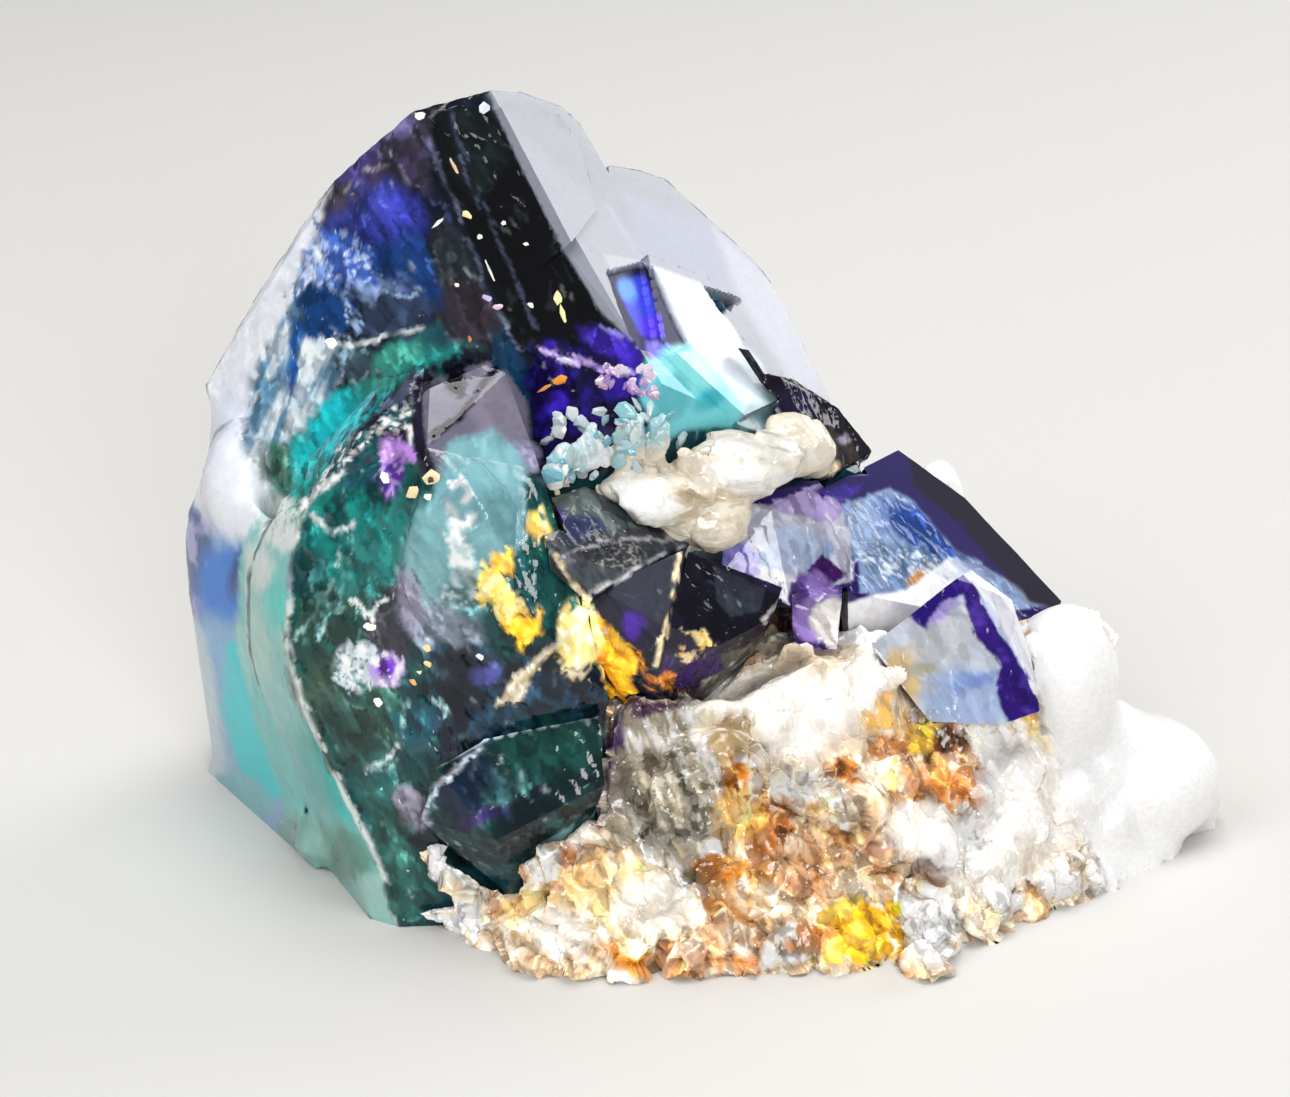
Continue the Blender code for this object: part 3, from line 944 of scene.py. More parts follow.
class Shapes:
    """Small closed bodies for grains, chips and crystal points."""

    def __init__(self, rng: random.Random, kinds: int = 24) -> None:
        """Prepares some faceted pebbles of unit size.

        Args:
            rng: The source of chance.
            kinds: How many pebbles.
        """
        self.rng = rng
        self.pebbles = [self.make_pebble(11 + i % 8) for i in range(kinds)]
        self.balls = [self.make_ball() for _ in range(6)]

    def make_pebble(self, corners: int) -> tuple[np.ndarray, list[list[int]]]:
        """The hull of corners spread unevenly on a unit ball."""
        shape = bmesh.new()
        for i in range(corners):
            level = 1 - 2 * (i + 0.5) / corners
            ring = math.sqrt(1 - level * level)
            turn = math.pi * (3 - math.sqrt(5)) * i
            way = Vector((ring * math.cos(turn), ring * math.sin(turn), level))
            way += Vector([self.rng.uniform(-0.35, 0.35) for _ in range(3)])
            shape.verts.new(way.normalized() * self.rng.uniform(0.85, 1.1))
        return self.hull(shape)

    def make_ball(self) -> tuple[np.ndarray, list[list[int]]]:
        """A lumpy round body of unit size."""
        shape = bmesh.new()
        bmesh.ops.create_icosphere(shape, subdivisions=2, radius=1.0)
        for vert in shape.verts:
            vert.co *= self.rng.uniform(0.88, 1.08)
        return self.hull(shape, rebuild=False)

    @staticmethod
    def hull(shape: bmesh.types.BMesh, rebuild: bool = True) -> tuple[np.ndarray, list[list[int]]]:
        """Reads a closed shape, after making it the hull of its vertices."""
        if rebuild:
            bmesh.ops.convex_hull(shape, input=shape.verts)
            loose = [vert for vert in shape.verts if not vert.link_faces]
            bmesh.ops.delete(shape, geom=loose, context="VERTS")
        bmesh.ops.recalc_face_normals(shape, faces=shape.faces)
        shape.verts.index_update()
        points = np.array([vert.co[:] for vert in shape.verts])
        faces = [[vert.index for vert in face.verts] for face in shape.faces]
        shape.free()
        return points, faces

    def pebble(
        self, middle: np.ndarray, normal: np.ndarray, size: tuple[float, float, float], smooth: bool = False
    ) -> tuple[np.ndarray, list[list[int]]]:
        """A body that lies on a face, with its own turn.

        Args:
            middle: Its middle.
            normal: The face's normal.
            size: Its half length, half width and half thickness.
            smooth: Whether it is round and not faceted.

        Returns:
            Its points and faces.
        """
        points, faces = self.rng.choice(self.balls if smooth else self.pebbles)
        axes = frame_on(normal, self.rng.uniform(0, 2 * math.pi))
        return middle + (points * np.array(size)) @ axes, faces

    @staticmethod
    def slab(middle: np.ndarray, axes: np.ndarray, size: tuple[float, float, float], shape: tuple):
        """A given body, stretched along given axes."""
        points, faces = shape
        return middle + (points * np.array(size)) @ axes, faces


@dataclass
class Drawer:
    """Puts small bodies on the stone that a pixel shows.

    Attributes:
        surface: The specimen's surface.
        shapes: The small bodies' maker.
        rng: The source of chance.
    """

    surface: Surface
    shapes: Shapes
    rng: random.Random

    def chip(
        self, pile: Pile, tint: str, pixel: Pixel, long: float, wide: float, turn: float = 0.0, **more: float
    ) -> None:
        """Sets a flat chip in a face.

        Args:
            pile: The pile that it joins.
            tint: Its colour.
            pixel: Where its middle is seen.
            long: Its half length in pixels.
            wide: Its half width in pixels.
            turn: Its turn in degrees, clockwise.
            more: clear, rough, and thick, its half thickness.
        """
        found = self.surface.hit(pixel)
        if not found:
            return
        place, normal = found
        right, up, _ = self.surface.view.axes
        angle = math.radians(turn)
        way = right * math.cos(angle) - up * math.sin(angle)
        first = way - normal * (way @ normal)
        first /= np.linalg.norm(first)
        axes = np.stack([first, np.cross(normal, first), normal])
        thick = more.get("thick", 0.12)
        size = (long / PIXELS_PER_MM, wide / PIXELS_PER_MM, thick)
        shape = self.rng.choice(self.shapes.pebbles)
        pile.add(*self.shapes.slab(place, axes, size, shape), tint, more.get("clear", 0.0), more.get("rough", 0.25))

    def inside(self, outline: tuple[Pixel, ...]) -> Pixel:
        """A chance pixel inside an outline."""
        xs, ys = zip(*outline)
        while True:
            spot = (self.rng.uniform(min(xs), max(xs)), self.rng.uniform(min(ys), max(ys)))
            if outline_distance(np.array([spot]), outline)[0] < 0:
                return spot


def limonite(tint: str, second: str, *corners: Pixel, **more: object) -> Zone:
    """A powdery crust of limonite that stands out of whatever stone carries it."""
    settings = {"soft": 5, "warp": 5, "rough": 0.6, "clear": 0.0, "lift": 0.25, "bumpy": 0.3, "deep": 6}
    settings |= {"grain": Grain.SHARDS, "second": second, "share": 0.4, "scale": 0.5, "busy": 0.45}
    return area(tint, *corners, **(settings | more))


LIMONITE = [
    limonite("#f6d468", "#f8e4a0", (468, 578), (482, 562), (496, 572), (512, 596), (526, 604), (524, 630),
             (512, 636), (494, 612), (476, 596)),
    limonite("#f4ac14", "#ffc838", (506, 628), (520, 610), (530, 618), (544, 608), (542, 632), (524, 654),
             (514, 645)),
    limonite("#f4cc58", "#f0b030", (494, 560), (500, 548), (513, 551), (510, 572), (498, 576)),
    limonite("#f4cc58", "#f8e0a0", (526, 512), (540, 508), (551, 530), (542, 546), (528, 539)),
    limonite("#f6dc88", "#fbeec0", (552, 648), (560, 625), (574, 602), (590, 598), (604, 622), (612, 650),
             (592, 664), (564, 666)),
    limonite("#f4a010", "#ffc428", (598, 612), (622, 640), (640, 662), (636, 684), (622, 710), (606, 684),
             (594, 660), (608, 640)),
    limonite("#f6e0a0", "#f0c060", (686, 628), (700, 626), (715, 648), (702, 651), lift=0.12),
    limonite("#eccf9c", "#d8a060", (680, 648), (698, 650), (690, 665), (678, 660), lift=0.08),
    limonite("#d8822c", "#a8601c", (638, 668), (672, 676), (684, 692), (652, 684), lift=0.05),
    limonite("#f2e6cc", "#d8c49c", (497, 703), (506, 680), (530, 664), (556, 644), (552, 656), (534, 672),
             (524, 688), (518, 708), (508, 700), lift=0.3, warp=3),
    limonite("#e4d4b0", "#b89c70", (560, 676), (572, 664), (590, 664), (580, 676), lift=0.08),
]


class MainCrystal:
    """The big zoned crystal with its teal crystal in front."""

    node = "fluorite_main"

    # Outline of the black band, painted near-black: partly the crystal's own dark colour, partly painted shade.
    BLACK_BAND = ((428, 125), (495, 100), (562, 248), (600, 310), (650, 352), (600, 362), (520, 345), (470, 240))
    TEAL_FACE = (
        (300, 520), (440, 370), (430, 470), (400, 520), (395, 600), (440, 660), (420, 760), (400, 925), (380, 860),
        (345, 790), (300, 700), (285, 640),
    )
    BLUE_BUBBLES = ((305, 240), (365, 235), (380, 300), (440, 330), (360, 380), (300, 340))
    DARK_MIDDLE = ((420, 640), (520, 660), (600, 650), (620, 720), (500, 760), (430, 780), (400, 700))
    INDIGO = ((530, 345), (640, 350), (650, 410), (600, 450), (540, 465), (522, 400))
    LEFT_SIDE = (
        (150, 380), (240, 400), (262, 480), (285, 520), (272, 640), (330, 790), (370, 900), (380, 950), (250, 960),
        (140, 850),
    )

    def upper_zones(self) -> list[Zone]:
        """The dark upper face, its blue clouds and the teal band beneath them; its near-black base and black band are
        partly its own dark colour and partly painted shade.
        """
        return [
            # Near-black base of the upper face: partly its own dark colour, partly painted shade of a face turned from
            # the light.
            area("#0b1220", (150, 560), (150, 300), (300, 160), (420, 90), (490, 80), (520, 165), (562, 247),
                 (600, 310), (650, 360), (640, 470), (540, 480), (440, 430), (300, 520),
                 soft=10, warp=0, deep=18, clear=0.2, rough=0.05),
            area("#eceff6", (330, 175), (322, 225), (303, 262), (298, 300), (270, 350), (252, 400), (240, 440),
                 (262, 480), (268, 508), (250, 550), (160, 590), (140, 400), (230, 200),
                 soft=12, warp=5, deep=16, clear=0.25, rough=0.35, busy=0.12,
                 grain=Grain.STREAKS, second="#b4c0d4", share=0.22, scale=1.0, lean=112),
            area("#5f8aa6", (303, 262), (310, 300), (345, 345), (330, 390), (300, 430), (268, 505), (240, 450),
                 (262, 360), (290, 300), soft=12, warp=5, clear=0.3, rough=0.2,
                 grain=Grain.STREAKS, second="#cfdce6", share=0.5, scale=0.8, lean=108),
            area("#1c58a8", (318, 300), (300, 345), (290, 400), (283, 372), (295, 330), soft=8, warp=3),
            oval("#2c5a48", (280, 474), 20, 34, soft=16, warp=5,
                 grain=Grain.STREAKS, second="#86a890", share=0.35, scale=0.5, lean=95),
            area("#2aa49c", (268, 505), (290, 450), (325, 405), (380, 360), (440, 325), (480, 345), (440, 364),
                 (380, 390), (332, 445), (300, 502), soft=16, warp=5, clear=0.35, rough=0.12),
            oval("#18d0dc", (337, 424), 54, 20, turn=-52, soft=18, warp=5, clear=0.35),
            oval("#3f9c88", (388, 366), 42, 13, turn=-35, soft=14),
            oval("#2d5d70", (455, 335), 38, 14, turn=-10, soft=18),
            area("#241f2e", (318, 240), (330, 180), (360, 145), (410, 105), (440, 112), (432, 190), (380, 205),
                 (345, 228), soft=12, warp=5, rough=0.3,
                 grain=Grain.CLOUD, second="#44385c", share=0.35, scale=0.6, lift=0.06),
            area("#3a3068", (338, 182), (365, 138), (388, 134), (372, 165), (345, 192), soft=8, warp=3),
            oval("#4c4044", (348, 200), 22, 14, turn=-30, soft=10),
            oval("#4a4468", (400, 128), 18, 10, turn=-20, soft=8),
            oval("#232c78", (375, 225), 54, 38, turn=-15, soft=30, warp=8, clear=0.25,
                 grain=Grain.CLOUD, second="#4048b4", share=0.4, scale=0.9),
            oval("#3c44b4", (396, 216), 26, 16, turn=-15, soft=16, warp=5),
            oval("#153a78", (408, 275), 46, 34, turn=25, soft=24, warp=6),
            oval("#3a5cac", (336, 264), 32, 34, soft=16, warp=7,
                 grain=Grain.BUBBLES, second="#a8bce8", share=0.6, scale=0.7),
            oval("#6f88b8", (312, 275), 12, 30, turn=10, soft=12, warp=6,
                 grain=Grain.SHARDS, second="#c4d0ec", share=0.4, scale=0.5),
            oval("#0c3c74", (322, 312), 28, 26, soft=14, warp=6, rough=0.06),
            oval("#7388b0", (376, 290), 26, 12, turn=-15, soft=10, warp=6),
            oval("#33405c", (396, 317), 36, 26, turn=-10, soft=10, warp=6, clear=0.3),
            oval("#3a4c58", (356, 362), 22, 20, soft=10, warp=6,
                 grain=Grain.SHARDS, second="#7ca0a8", share=0.3, scale=0.45),
            # The black band and the dark strips within it: partly its own dark colour, partly painted shade.
            area("#050508", *self.BLACK_BAND, soft=8, warp=3, deep=14, clear=0.05, rough=0.04, busy=0.2),
            area("#1d2228", (430, 212), (462, 225), (500, 330), (480, 348), (445, 305), (425, 250),
                 soft=12, warp=3, rough=0.05),
            oval("#332b34", (466, 314), 26, 36, turn=-15, soft=20),
            area("#0d1416", (440, 118), (490, 103), (515, 160), (480, 205), (450, 172), soft=10, warp=3),
            oval("#0f3350", (512, 375), 17, 38, turn=-25, soft=14, warp=4),
            area("#120a38", *self.INDIGO, soft=12, warp=6,
                 grain=Grain.CLOUD, second="#301a96", share=0.35, scale=0.8),
            oval("#3a22a0", (612, 342), 30, 11, turn=28, soft=10, warp=4),
        ]

    def white_zones(self) -> list[Zone]:
        """The pale right face with its growth plates, its windows and the turquoise foot; the face's pale greys are
        partly its own pale colour and partly painted reflection of the light it catches.
        """
        return [
            # Pale grey face and its lighter and darker growth plates: partly own pale colour, partly painted reflection
            # of light.
            area("#888c96", (486, 80), (600, 60), (950, 300), (950, 500), (740, 418), (690, 372), (636, 345),
                 (600, 310), (562, 247), (520, 165), (494, 108),
                 soft=2, warp=0, deep=40, clear=0.1, rough=0.25),
            area("#80848e", (490, 95), (560, 105), (612, 165), (660, 180), (700, 215), (660, 260), (610, 210),
                 (560, 170), (505, 120), soft=20, warp=0, deep=30),
            area("#868a9c", (640, 262), (622, 190), (700, 220), (745, 250), (722, 292), (700, 283),
                 soft=16, warp=0, deep=20),
            area("#a4a6b2", (715, 230), (780, 285), (850, 420), (790, 380), (740, 300), soft=16, warp=0, deep=20),
            # The brightest plate: painted reflection of the light that its tilt catches.
            area("#ccd2de", (642, 262), (700, 283), (735, 330), (772, 402), (735, 410), (665, 335),
                 soft=3, warp=0, deep=20),
            area("#8c90a2", (604, 204), (611, 206), (644, 262), (639, 264), soft=3, warp=0, deep=24),
            # A notch pressed into the face, painted near-black as painted shade in the hole.
            area("#0c0b24", (706, 288), (740, 299), (722, 313), soft=2, warp=0, deep=24, lift=-1.2, rough=0.8),
            area("#9ea2ae", (603, 254), (640, 260), (646, 272), (615, 278), soft=4, warp=0, deep=24),
            area("#141240", (608, 272), (640, 264), (654, 268), (690, 347), (668, 354), (634, 347),
                 soft=3, warp=1, deep=24, rough=0.5, lift=-0.3),
            area("#3d46dc", (619, 279), (642, 273), (668, 336), (645, 333), (630, 306),
                 soft=4, warp=1, deep=24, rough=0.5, clear=0.1),
            oval("#64a0ea", (630, 288), 9, 12, turn=-25, soft=8, deep=24),
            oval("#5a38e0", (652, 325), 10, 12, turn=-25, soft=8, deep=24),
            area("#8f84e4", (650, 338), (680, 345), (675, 362), (650, 365), soft=6, warp=2, deep=24),
            area("#7ce4ee", (646, 360), (690, 345), (752, 410), (745, 428), (690, 428), (660, 442), (640, 395),
                 soft=8, warp=3, deep=24, clear=0.3, rough=0.08),
            oval("#a8fcff", (688, 368), 30, 20, turn=25, soft=12, warp=3, deep=24),
            oval("#48c4d2", (712, 398), 20, 9, turn=-30, soft=8, warp=2, deep=24),
            oval("#64cad4", (672, 395), 20, 22, soft=10, deep=24),
            area("#7d9ca4", (745, 408), (768, 384), (788, 398), (805, 428), (770, 432), (735, 427),
                 soft=8, warp=3, deep=24),
            oval("#cfdfe6", (752, 378), 12, 26, turn=-15, soft=10, warp=2, deep=24),
        ]

    def flank_zones(self) -> list[Zone]:
        """The left flank: lavender above, blue and cyan below, with a pale rim."""
        return [
            area("#9cc0e0", (140, 500), (180, 490), (215, 520), (262, 545), (245, 560), (240, 640), (262, 700),
                 (290, 800), (270, 850), (150, 820), soft=14, warp=5, deep=14, clear=0.3, rough=0.2),
            area("#54689c", (165, 500), (205, 505), (215, 560), (200, 620), (175, 625), soft=16, warp=5, deep=10,
                 grain=Grain.CLOUD, second="#b8b8e2", share=0.4, scale=0.8),
            oval("#2c84e4", (222, 585), 25, 42, turn=5, soft=18, warp=5, deep=10),
            oval("#174694", (238, 576), 8, 22, turn=10, soft=8, warp=3, deep=10),
            oval("#8fc0ec", (215, 655), 20, 36, turn=-5, soft=18, warp=5, deep=10),
            area("#2ce0e4", (224, 645), (246, 640), (264, 700), (290, 790), (265, 805), (236, 765), (222, 705),
                 soft=16, warp=5, deep=10),
            area("#d2e2ea", (180, 600), (208, 640), (220, 720), (228, 775), (195, 795), (170, 700),
                 soft=12, warp=4, deep=10),
            oval("#8fccd4", (245, 795), 32, 18, turn=28, soft=12, warp=4, deep=10),
            oval("#f6f9ff", (232, 492), 34, 50, turn=-12, soft=22, warp=4, deep=10, rough=0.3),
            oval("#e4e8f4", (225, 425), 16, 40, turn=8, soft=18, warp=4, deep=10),
        ]

    def side_zones(self) -> list[Zone]:
        """The light teal left side of the front crystal, with its white rim."""
        return [
            area("#84d0ca", (262, 506), (300, 520), (285, 600), (290, 690), (345, 790), (402, 930), (360, 945),
                 (290, 870), (282, 800), (255, 720), (238, 640), (240, 560),
                 soft=8, warp=4, deep=12, clear=0.3, rough=0.18,
                 grain=Grain.STREAKS, second="#bce4dc", share=0.3, scale=1.6, lean=68),
            oval("#58dccf", (276, 606), 11, 26, soft=12, warp=4, deep=10),
            oval("#aadacf", (258, 640), 10, 44, turn=-8, soft=10, warp=4, deep=10),
            oval("#4cb8b0", (325, 775), 19, 56, turn=-28, soft=16, warp=4, deep=10),
            oval("#68998a", (348, 856), 24, 30, turn=-30, soft=16, warp=4, deep=10),
            oval("#a4cfc4", (378, 898), 20, 26, turn=-30, soft=12, warp=4, deep=10),
            oval("#f0f4f0", (284, 524), 27, 26, soft=12, warp=6, deep=10, rough=0.3,
                 grain=Grain.CRACKS, second="#8fb8ae", share=0.6, scale=0.9),
            oval("#dfe9e5", (260, 566), 13, 24, soft=10, warp=5, deep=10),
            oval("#90bcb0", (304, 843), 30, 28, turn=25, soft=10, warp=4, deep=10, rough=0.3),
            area("#e4ece8", (286, 600), (294, 598), (292, 645), (308, 696), (350, 786), (388, 858), (410, 925),
                 (398, 926), (376, 862), (340, 790), (298, 704), (284, 645),
                 soft=4, warp=2, deep=10, rough=0.25, lift=0.08),
        ]

    def teal_zones(self) -> list[Zone]:
        """The dark teal front face with its pale lobe, a grey facet painted with the reflection of grey surroundings,
        and purple spots.
        """
        return [
            area("#124648", (300, 520), (440, 368), (530, 470), (620, 560), (640, 720), (440, 860), (425, 960),
                 (400, 927), (380, 860), (345, 790), (303, 700), (289, 640),
                 soft=5, warp=2, deep=9, clear=0.25, rough=0.07,
                 grain=Grain.CLOUD, second="#1d5c54", share=0.35, scale=1.6),
            oval("#189088", (352, 500), 60, 48, turn=-40, soft=30, warp=8,
                 grain=Grain.CLOUD, second="#0c4c4a", share=0.4, scale=0.9),
            oval("#127470", (372, 560), 46, 44, soft=24, warp=8,
                 grain=Grain.CLOUD, second="#1f7c70", share=0.3, scale=0.7),
            oval("#1d4a40", (330, 645), 36, 56, turn=10, soft=24, warp=8),
            oval("#3a5648", (324, 690), 22, 30, soft=16, warp=6),
            oval("#24423c", (356, 730), 40, 44, soft=24, warp=8,
                 grain=Grain.CLOUD, second="#365a50", share=0.35, scale=0.9),
            oval("#33323c", (394, 628), 26, 40, soft=10, warp=5),
            oval("#2f5c50", (378, 690), 20, 30, soft=14, warp=5),
            area("#23564e", (352, 762), (402, 756), (424, 900), (404, 926), (380, 862),
                 soft=12, warp=5, grain=Grain.CLOUD, second="#3f8276", share=0.35, scale=0.8),
            oval("#15505e", (418, 722), 17, 24, soft=8, warp=3),
            oval("#2e7470", (384, 782), 18, 22, soft=12, warp=5),
            area("#110c20", (338, 448), (400, 384), (432, 366), (440, 400), (425, 440), (380, 436),
                 soft=8, warp=4, rough=0.05),
            area("#46526c", (378, 410), (412, 372), (426, 370), (404, 404), soft=7, warp=3),
            oval("#134e58", (360, 470), 26, 18, turn=-35, soft=12, warp=4),
            area("#14464c", (322, 482), (336, 452), (372, 424), (400, 406), (424, 396), (420, 416), (388, 432),
                 (360, 452), (338, 482), soft=5, warp=4, bumpy=0.12,
                 grain=Grain.BUBBLES, second="#fafcfa", share=0.7, scale=0.5),
            area("#eef4f2", (298, 504), (318, 486), (336, 470), (334, 480), (314, 498), (302, 510),
                 soft=4, warp=3, lift=0.05),
            area("#dfe6f0", (412, 378), (422, 374), (421, 396), (418, 412), (411, 408), soft=4, warp=3),
            area("#f2f4f4", (405, 426), (415, 422), (414, 438), (407, 448), soft=4, warp=2),
            area("#150b24", (412, 380), (434, 372), (432, 440), (446, 482), (420, 476), (410, 440),
                 soft=4, warp=2),
            # The grey facet and its lighter middle: painted reflection of grey surroundings on a flat face.
            area("#706c80", (421, 386), (440, 377), (486, 362), (506, 371), (526, 400), (533, 445), (541, 472),
                 (440, 480), (426, 445), soft=3, warp=1, clear=0.25, rough=0.05, busy=0.1,
                 grain=Grain.CLOUD, second="#7c7688", share=0.3, scale=0.9),
            area("#7e7888", (462, 412), (500, 374), (528, 430), (500, 445), soft=12, warp=2, busy=0.1),
            oval("#aaa2c4", (524, 456), 18, 14, turn=30, soft=10, warp=2),
            area("#120a1c", (427, 437), (432, 430), (456, 416), (494, 363), (500, 368), (462, 420), (432, 443),
                 soft=2, warp=1),
            oval("#150c1c", (459, 384), 11, 14, turn=10, soft=4, warp=2),
            area("#80b6be", (452, 444), (495, 432), (528, 466), (526, 545), (490, 566), (455, 600), (405, 600),
                 (402, 545), (430, 500), soft=12, warp=5, clear=0.3, rough=0.15, busy=0.2,
                 grain=Grain.CLOUD, second="#74a8b0", share=0.35, scale=1.2),
            oval("#8cc2ca", (486, 462), 34, 24, soft=16, warp=5, busy=0.15),
            oval("#86bcc2", (430, 560), 28, 62, turn=8, soft=16, warp=5, busy=0.2),
            oval("#7e8898", (440, 628), 42, 24, turn=24, soft=14, warp=4),
            oval("#8f8ba0", (410, 602), 12, 34, turn=-10, soft=8, warp=3),
            oval("#5f8f94", (470, 592), 26, 30, soft=14, warp=5,
                 grain=Grain.CRACKS, second="#d8e8e8", share=0.7, scale=0.7),
            oval("#c4dcde", (458, 545), 12, 34, turn=-5, soft=10, warp=4,
                 grain=Grain.BUBBLES, second="#f4f8f8", share=0.6, scale=0.5),
            vein("#ffffff", 7, (452, 486), (462, 478), (472, 490), (464, 500), clear=0.05, busy=0.7),
            vein("#ffffff", 6, (456, 508), (466, 504), (474, 514), (468, 526), (460, 522), clear=0.05, busy=0.7),
            vein("#eef8fa", 4, (448, 500), (458, 514), (462, 536), (470, 552), busy=0.7),
            oval("#c08ee4", (398, 452), 15, 16, turn=-20, soft=6, warp=4),
            oval("#5a2c9a", (392, 480), 14, 20, turn=15, soft=6, warp=4,
                 grain=Grain.BUBBLES, second="#c9a8ec", share=0.6, scale=0.45),
            oval("#c6d0d8", (362, 666), 27, 24, turn=20, soft=6, warp=6, rough=0.2,
                 grain=Grain.CRACKS, second="#4a7070", share=0.9, scale=0.55),
            oval("#cbb4f0", (388, 668), 17, 17, soft=5, warp=4),
            oval("#5a1fa0", (386, 666), 10, 10, soft=5, warp=2),
            area("#0e1a28", (430, 648), (480, 645), (510, 660), (560, 640), (640, 700), (610, 722), (490, 748),
                 (440, 770), (430, 720), soft=10, warp=6, rough=0.08,
                 grain=Grain.CLOUD, second="#28506c", share=0.3, scale=0.6),
            oval("#1a2430", (468, 670), 34, 20, soft=12, warp=5),
            oval("#5458a8", (486, 674), 13, 9, turn=-20, soft=8, warp=4),
            area("#14262c", (405, 840), (430, 820), (446, 768), (492, 742), (620, 712), (640, 780), (520, 860),
                 (460, 870), soft=4, warp=2, rough=0.06,
                 grain=Grain.CLOUD, second="#173f3a", share=0.3, scale=1.2),
            oval("#17413b", (545, 752), 60, 30, turn=-12, soft=24, warp=6),
            oval("#172840", (470, 792), 34, 26, turn=-30, soft=20, warp=4),
            oval("#2c5054", (505, 790), 26, 12, turn=-20, soft=16, warp=5,
                 grain=Grain.CLOUD, second="#5c8c8a", share=0.3, scale=0.4),
            oval("#33295a", (480, 818), 24, 8, turn=-20, soft=8, warp=3),
            oval("#8c8a9a", (411, 808), 17, 26, turn=-20, soft=6, warp=3, rough=0.15),
        ]

    def build(self, refiner: Refiner, material: bpy.types.Material) -> bpy.types.Object:
        """Builds the stone.

        Args:
            refiner: What cuts its faces small.
            material: The fluorite.

        Returns:
            The object.
        """
        stone = refiner.refine(self.node, 0.36)
        stone.round_off(stone.cover_of(self.LEFT_SIDE), 40)
        stone.base("#16444c", 0.25, 0.14)
        height = stone.start[:, 2]
        stone.cloud("#7fb4b4", 9.0, 0.0, 0.5, 3)
        stone.blend(ramp(height + 4 * rough_noise(stone.start, 8, 5), 30, 42), "#1c2a5c")
        stone.cloud("#c2cede", 7.0, 0.15, 0.5, 9)
        stone.blend(0.8 * ramp(height + 3 * rough_noise(stone.start, 5, 6), 41, 48), "#2a1850")
        stone.cloud("#0f2e3c", 5.0, 0.25, 0.6, 12)
        stone.lift += 0.05 * rough_noise(stone.start, 2.4, 21)
        steps = np.sin(2 * math.pi * (height + 1.2 * rough_noise(stone.start, 6, 8)) / 2.3)
        stone.lift += 0.06 * ramp(steps, -0.2, 0.2) * (1 - stone.facing)
        groups = (
            (self.upper_zones(), 0.55),
            (self.white_zones(), 0.0),
            (self.flank_zones(), 0.03),
            (self.side_zones(), 0.06),
            (self.teal_zones(), 0.7),
            (self.veins(), None),
            (LIMONITE, None),
        )
        for zones, busy in groups:
            stone.paint(zones, busy)
        stone.shatter()
        stone.move()
        piece = stone.build(material)
        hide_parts(self.node)
        LOG.info("%s: %d triangles", piece.name, len(stone.faces))
        return piece

    def dress(self, drawer: Drawer, material: bpy.types.Material) -> None:
        """Adds the chips and the knob that lie in its faces."""
        pile = Pile("fluorite_inclusions")
        self.draw_specks(drawer, pile)
        pile.build(material)

    def draw_specks(self, drawer: Drawer, pile: Pile) -> None:
        """The bright specks on the black band, and the small knobs below."""
        cream, yellow, white, lilac, orange = "#e8c8a0", "#f0e4a8", "#f4f4ea", "#c8b4e4", "#e89838"
        for tint, pixel, long, wide, turn in (
            (cream, (454, 166), 9, 2.2, 60),
            (yellow, (467, 215), 8, 3.8, 30),
            (white, (438, 223), 8, 2.2, -35),
            (white, (480, 237), 3, 3, 0),
            (white, (504, 223), 3.2, 2.8, 0),
            (white, (526, 244), 3.2, 2.4, 0),
            (white, (490, 271), 12, 1.6, 65),
            (lilac, (487, 298), 7, 3.4, 15),
            ("#e8c0cc", (498, 307), 6, 3.6, -10),
            (white, (531, 305), 4, 3, 20),
            (white, (457, 285), 3.6, 2.6, 0),
            (yellow, (558, 298), 7, 6, 80),
            (yellow, (563, 314), 10, 3, 72),
            (orange, (560, 380), 9, 5, -18),
            (orange, (545, 388), 9, 2.2, -28),
            ("#d4d8ec", (565, 360), 9, 2.6, 3),
            ("#c88858", (470, 339), 4, 2.4, 70),
            (white, (331, 343), 7, 6, 0),
            (white, (419, 117), 8, 6, -10),
            ("#c4c8e4", (484, 108), 7, 7, 40),
            ("#f4d8a0", (427, 648), 4.5, 5.5, 0),
            ("#f4d8a0", (428, 664), 6, 4, 0),
            ("#e8b070", (413, 682), 5, 3, 40),
            ("#f0dca8", (420, 672), 3.5, 3, 0),
            ("#fbf4ea", (371, 627), 9, 5, 5),
            ("#f4f4f4", (378, 702), 5, 5, 0),
            ("#f0f0f0", (480, 657), 5, 4, 0),
            ("#f4dfb4", (432, 478), 10, 9, 0),
            ("#f0d8a8", (413, 492), 9, 6, -30),
            ("#f6ecd8", (428, 497), 7, 4, 10),
            ("#fff8f0", (385, 478), 7, 7, 0),
        ):
            drawer.chip(pile, tint, pixel, long, wide, turn)
        drawer.chip(pile, "#14100c", (432, 479), 3.2, 3.2, 0, thick=0.9)

